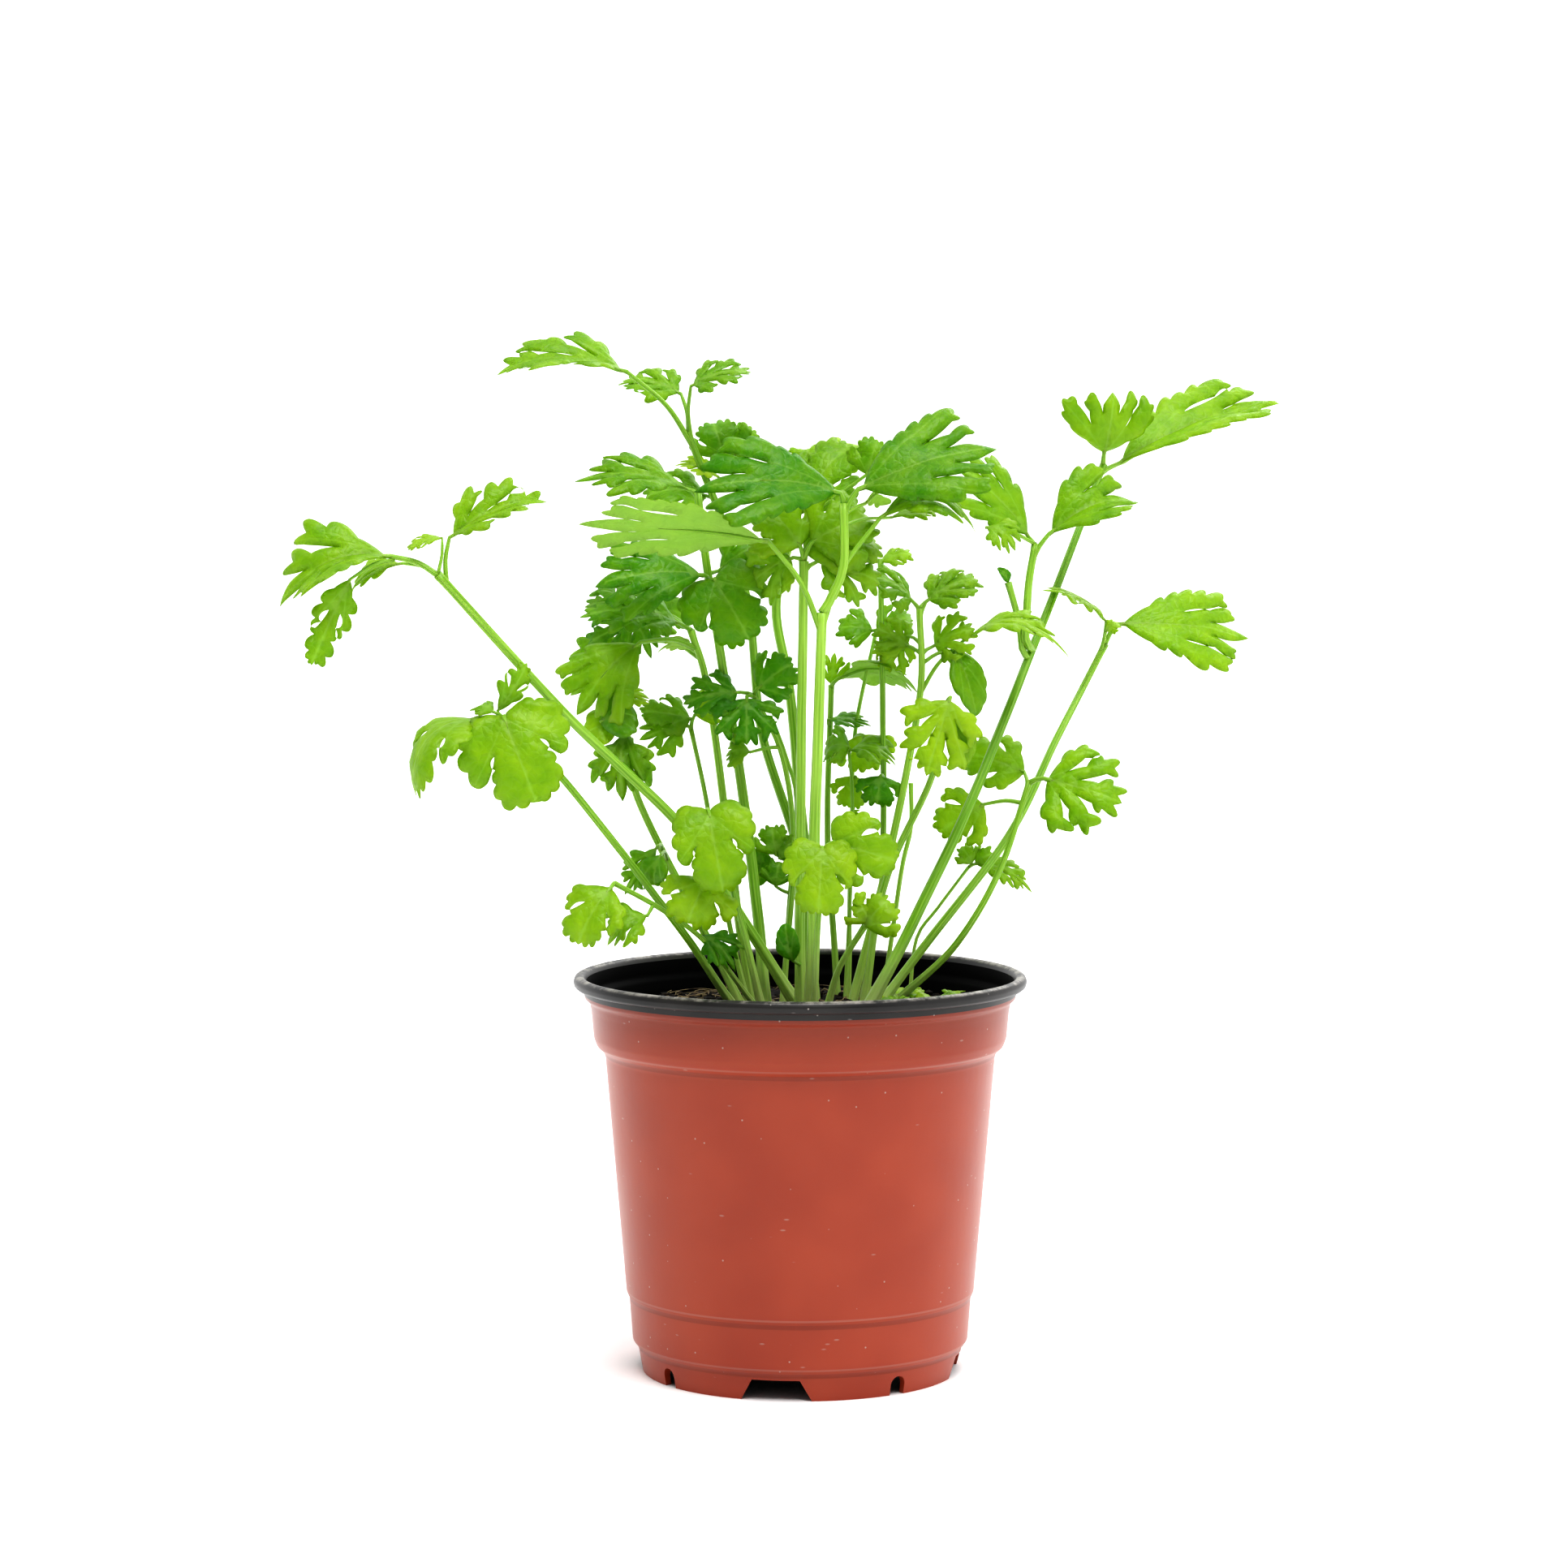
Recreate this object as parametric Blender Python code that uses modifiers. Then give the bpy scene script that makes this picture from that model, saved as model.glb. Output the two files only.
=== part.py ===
"""Potted leaf herb (sold as potted cilantro): thermoformed pot, compost plug, leaf stalks
and lobed leaf blades. Units are metres, +Z is up, and the pot's axis is the Z axis, with
the table plane at Z = 0. The tables and profiles below are written in millimetres."""

from math import cos, pi, radians, sin, sqrt

import bmesh
import bpy
from mathutils import Vector

MM = 0.001

# ---- driving dimensions, in millimetres ------------------------------------------------
RIM_RADIUS = 65.0  # outside of the rolled rim
POT_HEIGHT = 114.3
WALL = 0.9  # the plastic sheet
FOOT_RADIUS = 45.4  # outside of the foot ring, at the table
FLOOR_HEIGHT = 6.4  # underside of the pot's floor above the table
BIG_NOTCH = (13.6, 21.0, 6.0)  # width at its top, width at the table, height
SMALL_NOTCH = (4.8, 5.4)  # width, height to the crown of the arch
NOTCH_TURN = -8.5  # degrees that the first big notch stands left of the front
DRAIN_RADIUS = 4.0  # the eight drain holes
GAP = 0.35  # clearance between neighbouring pieces
SOIL_TOP = ((0.0, 106.8), (18.0, 106.4), (36.0, 105.6), (52.0, 104.6), (58.6, 103.2))
BLADE = 0.5  # leaf blade thickness
STALK = 1.6  # thickness and width of a leaflet's own stalk
TURN_STEPS = 48
STEM_STEP = 14.0  # length of stalk between two rings

# ---- growth table: name, radius at the foot and at the tip, then the way up -------------
STEMS = (
    ("stem_01", 1.4, 1.1, ((-19, -22, 108), (-38, -34, 137), (-64, -52, 173), (-80, -61, 191))),
    ("stem_02", 1.9, 1.4,
     ((-2, -16, 109), (-16, -23, 132), (-33, -31, 159), (-64, -46, 191), (-98, -60, 230))),
    ("stem_03", 1.4, 1.1, ((-17, -12, 107), (-27, -10, 127), (-46, -15, 166), (-48, -18, 183))),
    ("stem_04", 1.5, 1.1, ((-14, 2, 105), (-19, 0, 140), (-26, -2, 194), (-31, -6, 213))),
    ("stem_05", 1.9, 1.2,
     ((-10, -13, 107), (-14, -10, 150), (-22, -12, 203), (-26, -15, 229), (-29, -10, 252))),
    ("stem_06", 1.7, 1.1,
     ((1, 2, 105), (0, 5, 145), (-11, 8, 183), (-16, 5, 225), (-32, 0, 269))),
    ("stem_07", 1.0, 0.8, ((-5, -4, 106), (-2, -6, 150), (-5, -10, 177), (-13, -17, 195))),
    ("stem_08", 1.9, 1.4,
     ((4, 12, 104), (1, 14, 150), (-3, 16, 194), (-7, 16, 219), (-2, 13, 242))),
    ("stem_09", 1.7, 1.4, ((0, -24, 108), (0, -27, 160), (1, -26, 233))),
    ("stem_10", 2.2, 1.8, ((3, -34, 110), (4, -36, 156), (6, -38, 219))),
    ("stem_11", 1.4, 1.2, ((8, -37, 222), (12, -36, 232), (12, -34, 249))),
    ("stem_12", 1.4, 1.0, ((15, 0, 106), (25, 0, 147), (34, 0, 193), (34, 0, 219))),
    ("stem_13", 1.3, 0.9, ((18, -12, 107), (24, -14, 142), (37, -18, 172), (41, -20, 193))),
    ("stem_14", 1.9, 1.1,
     ((20, -24, 109), (34, -16, 135), (49, -2, 165), (61, 12, 192), (77, 34, 229),
      (90, 52, 260))),
    ("stem_15", 1.2, 1.0, ((65, 14, 210), (66, 17, 225), (68, 19, 237))),
    ("stem_16", 1.5, 1.1,
     ((23, -4, 106), (38, 2, 125), (60, 14, 152), (75, 28, 180), (90, 42, 207))),
    ("stem_17", 1.3, 1.0, ((29, 4, 107), (45, 1, 123), (57, 4, 143), (66, 8, 169))),
    ("stem_18", 1.1, 0.9, ((11, 18, 103), (8, 21, 150), (9, 22, 196))),
    ("stem_19", 1.0, 0.9, ((4, -46, 111), (5, -48, 136), (7, -50, 155))),
    ("stem_20", 1.2, 1.0, ((-11, -34, 110), (-18, -39, 140), (-26, -44, 165))),
)
# Stalks that grow from the side of another stalk start clear of the compost.
BRANCHES = ("stem_11", "stem_15")

# ---- leaf table: name, stalk that bears it, distance below that stalk's tip, base of the
# blade, tip of the blade, way that its upper face looks, half width, outline, arch (mm),
# fold along the midrib (degrees)
LEAVES = (
    ("leaf_01", "stem_01", 0, (-80, -65, 192), (-71, -70, 169), (0, -10, 2), 23, "fan", 2, 0),
    ("leaf_02", "stem_01", 4, (-88, -60, 191), (-103, -64, 171), (-6, -5, 6), 11, "long", 8, 15),
    ("leaf_03", "stem_02", 0, (-111, -58, 235), (-140, -59, 223), (0, -8, 5), 18, "long", 5, 25),
    ("leaf_04", "stem_02", 3, (-96, -58, 241), (-75, -54, 249), (0, -7, 7), 14, "long", 3, 25),
    ("leaf_05", "stem_02", 5, (-120, -69, 221), (-131, -71, 205), (3, -10, 0), 7, "long", -2, 10),
    ("leaf_06", "stem_06", 4, (-49, -8, 286), (-85, -14, 286), (0, -5, 9), 15, "finger", 4, 10),
    ("leaf_07", "stem_06", 0, (-34, 4, 280), (-51, 10, 284), (0, -6, 8), 10, "finger", 2, 10),
    ("leaf_08", "stem_06", 3, (-28, -3, 280), (-15, -4, 286), (0, -6, 8), 11, "finger", 2, 10),
    ("leaf_09", "stem_05", 0, (-32, -9, 256), (-62, -14, 258), (0, -5, 9), 14, "long", 4, 15),
    ("leaf_10", "stem_11", 0, (11, -34, 252), (-26, -42, 254), (0, -8, 6), 19, "long", 4, 10),
    ("leaf_11", "stem_11", 3, (16, -33, 253), (52, -28, 264), (0, -8, 6), 18, "long", 3, 10),
    ("leaf_12", "stem_10", 5, (-9, -42, 239), (-57, -50, 242), (0, 6, 8), 14, "long", 2, 10),
    ("leaf_13", "stem_10", 4, (22, -33, 245), (48, -26, 243), (0, -4, 9), 14, "long", 8, 10),
    ("leaf_14", "stem_05", 25, (-27, -20, 229), (-55, -27, 227), (0, -8, 6), 15, "long", 3, 5),
    ("leaf_15", "stem_05", 28, (-24, -21, 228), (-14, -27, 211), (0, -10, 1), 17, "fan", 2, 5),
    ("leaf_16", "stem_04", 0, (-34, -9, 215), (-62, -18, 217), (0, -7, 7), 14, "finger", 4, 10),
    ("leaf_17", "stem_04", 5, (-45, -16, 210), (-60, -22, 193), (-3, -9, 3), 14, "finger", 3, 5),
    ("leaf_18", "stem_03", 0, (-49, -21, 185), (-50, -26, 167), (-2, -10, 0), 9, "long", 3, 10),
    ("leaf_19", "stem_07", 0, (-15, -20, 195), (-15, -24, 182), (0, -10, 2), 12, "fan", 1, 5),
    ("leaf_20", "stem_09", 0, (1, -25, 236), (21, -14, 238), (0, -8, 6), 17, "fan", 3, 5),
    ("leaf_21", "stem_08", 0, (0, 13, 246), (15, 20, 266), (0, -6, 8), 17, "fan", 3, 5),
    ("leaf_22", "stem_12", 0, (32, -1, 221), (20, -6, 228), (0, -6, 8), 10, "fan", 2, 5),
    ("leaf_23", "stem_12", 3, (36, 2, 221), (51, 6, 227), (0, -6, 8), 10, "finger", 2, 5),
    ("leaf_24", "stem_12", 24, (47, 2, 210), (75, -4, 208), (0, -3, 9), 9, "long", 7, 10),
    ("leaf_25", "stem_13", 0, (42, -24, 195), (35, -27, 173), (1, -10, 1), 13, "fan", 1, 5),
    ("leaf_26", "stem_18", 0, (11, 19, 198), (33, 12, 195), (0, 4, 9), 14, "long", 5, 5),
    ("leaf_27", "stem_17", 0, (70, 6, 170), (92, 0, 163), (0, -9, 4), 17, "fan", 2, 5),
    ("leaf_28", "stem_17", 3, (65, 17, 171), (48, 22, 176), (0, -9, 4), 11, "fan", 2, 5),
    ("leaf_29", "stem_17", 6, (53, 12, 162), (40, 12, 154), (0, -10, 2), 11, "fan", 1, 5),
    ("leaf_30", "stem_14", 0, (90, 51, 263), (91, 46, 278), (0, 9, 4), 15, "fan", 2, 5),
    ("leaf_31", "stem_14", 3, (94, 54, 260), (141, 72, 279), (0, -8, 6), 17, "long", 3, 15),
    ("leaf_32", "stem_15", 0, (66, 18, 239), (49, 14, 259), (3, -8, 5), 13, "long", 3, 10),
    ("leaf_33", "stem_15", 4, (72, 19, 240), (94, 25, 247), (0, -8, 5), 15, "long", 3, 15),
    ("leaf_34", "stem_16", 0, (100, 44, 215), (128, 51, 206), (0, -8, -4), 17, "fan", 3, 5),
    ("leaf_35", "stem_16", 3, (90, 39, 214), (71, 20, 223), (0, -4, 9), 6, "long", 3, 0),
    ("leaf_36", "stem_20", 0, (-25, -49, 168), (-21, -54, 145), (0, -10, 1), 17, "fan", 2, 5),
    ("leaf_37", "stem_19", 0, (9, -54, 157), (26, -57, 152), (0, -10, 2), 12, "fan", 1, 5),
    ("leaf_38", "stem_19", 3, (6, -58, 156), (5, -63, 138), (0, -10, 1), 12, "fan", 1, 5),
)

# Outlines: share of the length that the midrib takes, angle of the lowest side vein from
# the midrib, then pairs of (place along the midrib, reach of the lobe there).
OUTLINES = {
    "fan": (0.55, 84, ((0.0, 0.05), (0.1, 0.8), (0.26, 1.0), (0.4, 0.55), (0.55, 0.9),
                       (0.7, 0.95), (0.8, 0.7), (0.9, 0.97), (1.0, 1.0))),
    "long": (0.7, 68, ((0.0, 0.05), (0.12, 0.75), (0.26, 1.0), (0.38, 0.5), (0.52, 0.9),
                       (0.66, 0.6), (0.8, 0.85), (0.9, 0.8), (1.0, 1.0))),
    "finger": (0.66, 70, ((0.0, 0.05), (0.12, 0.8), (0.22, 1.0), (0.32, 0.35), (0.48, 1.0),
                          (0.62, 0.35), (0.78, 1.0), (0.88, 0.55), (1.0, 1.0))),
}


def new_collection(name):
    collection = bpy.data.collections.new(name)
    bpy.context.scene.collection.children.link(collection)
    return collection


def material(name, colour, roughness):
    """A Principled material in linear colour."""
    mat = bpy.data.materials.new(name)
    mat.use_nodes = True
    shader = mat.node_tree.nodes["Principled BSDF"]
    shader.inputs["Base Color"].default_value = (*colour, 1.0)
    shader.inputs["Roughness"].default_value = roughness
    shader.inputs["Metallic"].default_value = 0.0
    mat.diffuse_color = (*colour, 1.0)
    return mat


def place(name, data, collection, mat=None):
    obj = bpy.data.objects.new(name, data)
    collection.objects.link(obj)
    if mat:
        data.materials.append(mat)
    return obj


def turned(name, profile, collection, mat, steps=TURN_STEPS):
    """A body of revolution from a list of (radius, height), given from the top down the
    outer side."""
    mesh = bpy.data.meshes.new(name)
    points = [(r * MM, 0.0, z * MM) for r, z in profile]
    mesh.from_pydata(points, [(i, i + 1) for i in range(len(points) - 1)], [])
    obj = place(name, mesh, collection, mat)
    screw = obj.modifiers.new("turn", "SCREW")
    screw.axis = "Z"
    screw.angle = 2 * pi
    screw.steps = steps
    screw.render_steps = steps
    screw.use_merge_vertices = True
    screw.merge_threshold = 0.00001
    screw.use_smooth_shade = False
    return obj


def pot_profile():
    """Inner floor, inner wall, rolled rim, outer wall with its shoulder and two steps,
    foot ring and underside."""
    inner = [
        (0.0, FLOOR_HEIGHT + WALL),
        (44.6, FLOOR_HEIGHT + WALL),
        (46.8, 9.4),
        (48.25, 21.6),
        (49.1, 23.4),
        (54.95, 91.4),
        (57.2, 94.3),
        (58.3, 96.8),
        (59.0, 104.4),
        (59.6, 106.9),
        (60.9, 108.3),
        (61.3, 112.6),
    ]
    rim = [
        (62.1, 113.9),
        (63.3, POT_HEIGHT),
        (64.5, 113.8),
        (RIM_RADIUS, 112.6),
        (64.8, 111.3),
        (64.0, 110.6),
        (62.2, 110.6),
    ]
    outer = [
        (61.8, 107.8),
        (60.4, 106.6),
        (59.9, 104.0),
        (59.2, 96.4),
        (58.4, 94.2),
        (56.4, 92.3),
        (55.9, 90.8),
        (50.05, 23.0),
        (49.2, 21.2),
        (48.25, 9.0),
        (46.75, 7.1),
        (46.4, 5.4),
        (FOOT_RADIUS, 0.0),
    ]
    foot = [(43.6, 0.0), (44.4, FLOOR_HEIGHT), (0.0, FLOOR_HEIGHT)]
    return inner + rim + outer + foot


def soil_height(radius):
    """Height of the compost's surface at a distance from the axis."""
    for (r0, z0), (r1, z1) in zip(SOIL_TOP, SOIL_TOP[1:]):
        if radius <= r1:
            return z0 + (z1 - z0) * (radius - r0) / (r1 - r0)
    return SOIL_TOP[-1][1]


def soil_profile():
    side = [
        (57.8, 97.1),
        (56.3, 94.9),
        (54.2, 91.8),
        (48.4, 23.7),
        (47.6, 21.8),
        (46.0, 9.6),
        (44.3, FLOOR_HEIGHT + WALL + GAP),
        (0.0, FLOOR_HEIGHT + WALL + GAP),
    ]
    return list(SOIL_TOP) + side


def wedge_cutter(name, widths, heights, turn, collection, crown=0.0):
    """A radial bar across the foot ring, wider at the table than at its top. A crown rounds
    the top into an arch."""
    top, bottom = widths
    low, high = heights
    outline = [(-bottom / 2, low), (bottom / 2, low)]
    steps = 8 if crown else 1
    for i in range(steps + 1):
        share = i / steps
        angle = pi * share
        x = top / 2 * cos(angle)
        outline.append((x, high - crown + crown * sin(angle)))
    bm = bmesh.new()
    ring = [bm.verts.new((x * MM, -36 * MM, z * MM)) for x, z in outline]
    face = bm.faces.new(ring)
    grown = bmesh.ops.extrude_face_region(bm, geom=[face])
    moved = [v for v in grown["geom"] if isinstance(v, bmesh.types.BMVert)]
    bmesh.ops.translate(bm, vec=(0, -20 * MM, 0), verts=moved)
    bmesh.ops.recalc_face_normals(bm, faces=bm.faces)
    mesh = bpy.data.meshes.new(name)
    bm.to_mesh(mesh)
    bm.free()
    obj = place(name, mesh, collection)
    obj.rotation_euler.z = radians(turn)
    obj.hide_render = True
    obj.display_type = "WIRE"
    return obj


def hole_cutter(name, radius, distance, turn, collection):
    bm = bmesh.new()
    bmesh.ops.create_cone(bm, cap_ends=True, segments=16, radius1=radius * MM,
                          radius2=radius * MM, depth=6 * MM)
    mesh = bpy.data.meshes.new(name)
    bm.to_mesh(mesh)
    bm.free()
    obj = place(name, mesh, collection)
    angle = radians(turn - 90)
    obj.location = (distance * MM * cos(angle), distance * MM * sin(angle), 7 * MM)
    obj.hide_render = True
    obj.display_type = "WIRE"
    return obj


def cut(obj, cutters):
    modifier = obj.modifiers.new("cut", "BOOLEAN")
    modifier.operation = "DIFFERENCE"
    modifier.solver = "EXACT"
    modifier.operand_type = "COLLECTION"
    modifier.collection = cutters


def smooth_way(points, step):
    """Points along a smooth curve through the given ones, about one step apart."""
    points = [Vector(p) for p in points]
    tangents = []
    for i in range(len(points)):
        before = points[max(i - 1, 0)]
        after = points[min(i + 1, len(points) - 1)]
        tangents.append((after - before) / (2 if 0 < i < len(points) - 1 else 1))
    way = [points[0]]
    for i in range(len(points) - 1):
        a, b = points[i], points[i + 1]
        count = max(1, round((b - a).length / step))
        for k in range(1, count + 1):
            t = k / count
            way.append(
                a * (2 * t**3 - 3 * t**2 + 1)
                + tangents[i] * (t**3 - 2 * t**2 + t)
                + b * (-2 * t**3 + 3 * t**2)
                + tangents[i + 1] * (t**3 - t**2)
            )
    return way


def stem_way(row):
    """The stalk's centre line, with its foot lifted clear of the compost."""
    name, foot_radius, _, points = row
    way = smooth_way(points, STEM_STEP)
    if name in BRANCHES:
        return way
    foot, above = way[0], way[1]
    rise = (above - foot).normalized()
    lift = GAP + 0.3 + foot_radius * sqrt(max(0.0, 1 - rise.z**2))
    level = soil_height(sqrt(foot.x**2 + foot.y**2)) + lift
    way[0] = foot + rise * ((level - foot.z) / rise.z)
    return way


def stem(row, collection, mat):
    name, foot_radius, tip_radius, _ = row
    way = stem_way(row)
    curve = bpy.data.curves.new(name, "CURVE")
    curve.dimensions = "3D"
    curve.bevel_depth = MM
    curve.bevel_resolution = 1
    curve.use_fill_caps = True
    spline = curve.splines.new("POLY")
    spline.points.add(len(way) - 1)
    for i, point in enumerate(way):
        share = i / (len(way) - 1)
        spline.points[i].co = (*(point * MM), 1.0)
        spline.points[i].radius = foot_radius + (tip_radius - foot_radius) * share
    return place(name, curve, collection, mat)


def leave(row, drop, toward):
    """Where a leaflet's stalk starts, a clearance away from the stalk that bears it."""
    way = stem_way(row)
    tip_radius = row[2]
    if drop == 0:
        end = way[-1]
        along = (way[-1] - way[-2]).normalized()
        return end + along * (GAP + 0.3 + STALK / 2)
    left = drop
    for i in range(len(way) - 1, 0, -1):
        length = (way[i] - way[i - 1]).length
        if left <= length:
            along = (way[i] - way[i - 1]).normalized()
            point = way[i] - along * left
            break
        left -= length
    out = toward - point
    out = (out - along * out.dot(along)).normalized()
    return point + out * (tip_radius + GAP + 0.3 + STALK / 2)


def blade_frame(base, tip, face):
    """Directions along the midrib, across the blade and out of its upper face."""
    along = (tip - base).normalized()
    up = Vector(face)
    up = (up - along * up.dot(along)).normalized()
    return along, up.cross(along), up


def leaf_mesh(name, row):
    _, bearer, drop, base, tip, face, width, outline, arch, fold = row
    base, tip = Vector(base), Vector(tip)
    stem_row = next(s for s in STEMS if s[0] == bearer)
    start = leave(stem_row, drop, base)
    along, across, up = blade_frame(base, tip, face)
    length = (tip - base).length
    midrib, base_angle, lobes = OUTLINES[outline]

    def lift(p, q):
        """Height of the blade over its flat plane: arched, folded, drooping at the rim."""
        share = p / length
        return arch * 4 * share * (1 - share) + abs(q) * sin(radians(fold)) - q * q / (8 * width)

    rows = []
    stalk = base - start
    count = max(2, round(stalk.length / 6))
    for i in range(count):
        t = i / count
        bow = along * (-0.25 * stalk.length * t * t * (1 - t))
        centre = start + stalk * t + bow
        heading = (stalk * (1 - t) + along * stalk.length * t).normalized()
        side = (across - heading * across.dot(heading)).normalized()
        half = STALK / 2
        rows.append((centre - side * half, centre, centre + side * half, 1.0))
    for u, reach in lobes:
        angle = radians(base_angle * (1 - u) ** 0.8)
        limit = width * (1 - u * u) + (1 - midrib) * length * u * u
        p = midrib * length * u
        reach = reach * limit
        dp, dq = reach * cos(angle), reach * sin(angle)
        if u == 0.0:
            dp, dq = 0.0, STALK / 2
        centre = base + along * p + up * lift(p, 0.0)
        left = base + along * (p + dp) - across * dq + up * lift(p + dp, -dq)
        right = base + along * (p + dp) + across * dq + up * lift(p + dp, dq)
        rows.append((left, centre, right, 1.0 if u == 0.0 else BLADE / STALK))
    bm = bmesh.new()
    weights = []

    def vertex(point, weight):
        weights.append(weight)
        return bm.verts.new(point * MM)

    grid = []
    for left, centre, right, weight in rows[:-1]:
        grid.append([vertex(left, weight), vertex(centre, weight), vertex(right, weight)])
    _, centre, right, weight = rows[-1]
    end = vertex(centre, weight)
    point = vertex(right, weight)
    grid.append([point, end, point])
    for low, high in zip(grid, grid[1:]):
        bm.faces.new((low[0], low[1], high[1], high[0]))
        bm.faces.new((low[1], low[2], high[2], high[1]))
    mesh = bpy.data.meshes.new(name)
    bm.to_mesh(mesh)
    bm.free()
    return mesh, weights


def leaf(row, collection, mat):
    """A lobed blade on its own stalk: an open sheet that Solidify thickens, most at the
    stalk."""
    name = row[0]
    mesh, weights = leaf_mesh(name, row)
    obj = place(name, mesh, collection, mat)
    group = obj.vertex_groups.new(name="thickness")
    for i, weight in enumerate(weights):
        group.add([i], weight, "REPLACE")
    solid = obj.modifiers.new("thickness", "SOLIDIFY")
    solid.thickness = STALK * MM
    solid.offset = 0.0
    solid.vertex_group = "thickness"
    solid.use_even_offset = False
    return obj


def build():
    for obj in list(bpy.data.objects):
        bpy.data.objects.remove(obj, do_unlink=True)
    plant = new_collection("potted_herb")
    cutters = new_collection("cutters")

    pot = turned("pot", pot_profile(), plant, material("pot", (0.40, 0.07, 0.035), 0.4))
    for i in range(4):
        turn = NOTCH_TURN + 90 * i
        top, bottom, height = BIG_NOTCH
        wedge_cutter("big_notch_%d" % i, (top, bottom), (-1.0, height), turn, cutters)
        width, height = SMALL_NOTCH
        wedge_cutter("small_notch_%d" % i, (width, width), (-1.0, height), turn + 45, cutters,
                     crown=width / 2)
    for i in range(8):
        hole_cutter("drain_%d" % i, DRAIN_RADIUS, 32.0, NOTCH_TURN + 45 * i, cutters)
    cut(pot, cutters)

    turned("soil", soil_profile(), plant, material("soil", (0.02, 0.015, 0.012), 0.95), 36)
    for row in STEMS:
        stem(row, plant, material(row[0], (0.25, 0.46, 0.06), 0.45))
    for row in LEAVES:
        leaf(row, plant, material(row[0], (0.16, 0.42, 0.03), 0.45))


build()
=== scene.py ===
import random
from math import cos, exp, hypot, pi, radians, sin, sqrt

import bmesh
import bpy
import numpy as np
from bpy.props import FloatProperty, FloatVectorProperty, IntProperty, PointerProperty
from mathutils import Matrix, Vector, noise
from mathutils.geometry import delaunay_2d_cdt


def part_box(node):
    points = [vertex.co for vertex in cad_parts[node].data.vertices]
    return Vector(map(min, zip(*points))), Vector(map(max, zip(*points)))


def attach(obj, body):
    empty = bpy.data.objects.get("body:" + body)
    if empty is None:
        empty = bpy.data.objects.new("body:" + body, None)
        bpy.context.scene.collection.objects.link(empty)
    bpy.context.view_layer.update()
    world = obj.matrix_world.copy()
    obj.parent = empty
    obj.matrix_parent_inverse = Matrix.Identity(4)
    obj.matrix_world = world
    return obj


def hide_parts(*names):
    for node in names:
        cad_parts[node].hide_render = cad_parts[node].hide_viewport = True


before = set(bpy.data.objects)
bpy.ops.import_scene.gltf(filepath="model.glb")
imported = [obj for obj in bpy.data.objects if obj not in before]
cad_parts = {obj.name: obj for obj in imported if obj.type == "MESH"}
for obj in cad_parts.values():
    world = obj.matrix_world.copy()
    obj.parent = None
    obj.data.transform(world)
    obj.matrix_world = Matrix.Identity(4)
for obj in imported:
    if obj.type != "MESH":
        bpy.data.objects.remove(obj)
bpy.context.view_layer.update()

bl_info = {
    "name": "Potted leaf herb",
    "version": (1, 0, 0),
    "blender": (4, 5, 0),
    "location": "3D View > Sidebar > Herb",
    "description": "Builds a potted flat-leaved herb: pot, compost, leaf stalks and leaf blades",
    "category": "Object",
}

MM = 0.001
BODY = "root"

# ---- growth tables, in millimetres: the part's own, but two stalks and some blades changed -
# stalk: radius at the foot and at the tip, then the way up
STALKS = {
    "stem_01": (1.4, 1.1, ((-19, -22, 108), (-38, -34, 137), (-64, -52, 173), (-80, -61, 191))),
    "stem_02": (1.9, 1.4, ((-2, -16, 109), (-16, -23, 132), (-33, -31, 159), (-64, -46, 191),
                           (-98, -60, 230))),
    "stem_03": (1.4, 1.1, ((-17, -12, 107), (-27, -10, 127), (-46, -15, 166), (-48, -18, 183))),
    "stem_04": (1.5, 1.1, ((-14, 2, 105), (-19, 0, 140), (-26, -2, 194), (-31, -6, 213))),
    "stem_05": (1.9, 1.2, ((-10, -13, 107), (-14, -10, 150), (-22, -12, 203), (-26, -15, 229),
                           (-29, -10, 252))),
    "stem_06": (1.7, 1.1, ((1, 2, 105), (0, 5, 145), (-11, 8, 183), (-16, 5, 225),
                           (-32, 0, 269))),
    "stem_07": (1.0, 0.8, ((-5, -4, 106), (-2, -6, 150), (-5, -10, 177), (-13, -17, 195))),
    "stem_08": (1.9, 1.4, ((4, 12, 104), (1, 14, 150), (-3, 16, 194), (-7, 16, 219),
                           (-2, 13, 242))),
    "stem_09": (1.7, 1.4, ((0, -24, 108), (0, -27, 160), (1, -26, 233))),
    "stem_10": (2.0, 1.5, ((3, -34, 110), (4, -36, 156), (6, -38, 219))),
    "stem_11": (1.3, 1.1, ((8, -37, 222), (12, -36, 232), (12, -34, 249))),
    "stem_12": (1.4, 1.0, ((15, 0, 106), (25, 0, 147), (34, 0, 193), (34, 0, 219))),
    "stem_13": (1.3, 0.9, ((18, -12, 107), (24, -14, 142), (37, -18, 172), (41, -20, 193))),
    "stem_14": (1.9, 1.1, ((20, -24, 109), (34, -16, 135), (49, -2, 165), (61, 12, 192),
                           (77, 34, 229), (90, 52, 260))),
    "stem_15": (1.2, 1.0, ((65, 14, 210), (66, 17, 225), (68, 19, 237))),
    "stem_16": (1.5, 1.1, ((23, -4, 106), (38, 2, 125), (60, 14, 152), (75, 28, 180),
                           (90, 42, 207))),
    "stem_17": (1.3, 1.0, ((29, 4, 107), (45, 1, 123), (57, 4, 143), (66, 8, 169))),
    "stem_18": (1.1, 0.9, ((11, 18, 103), (8, 21, 150), (9, 22, 196))),
    "stem_19": (1.0, 0.9, ((4, -46, 111), (5, -48, 136), (7, -50, 155))),
    "stem_20": (1.2, 1.0, ((-11, -34, 110), (-18, -39, 140), (-26, -44, 165))),
}
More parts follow.
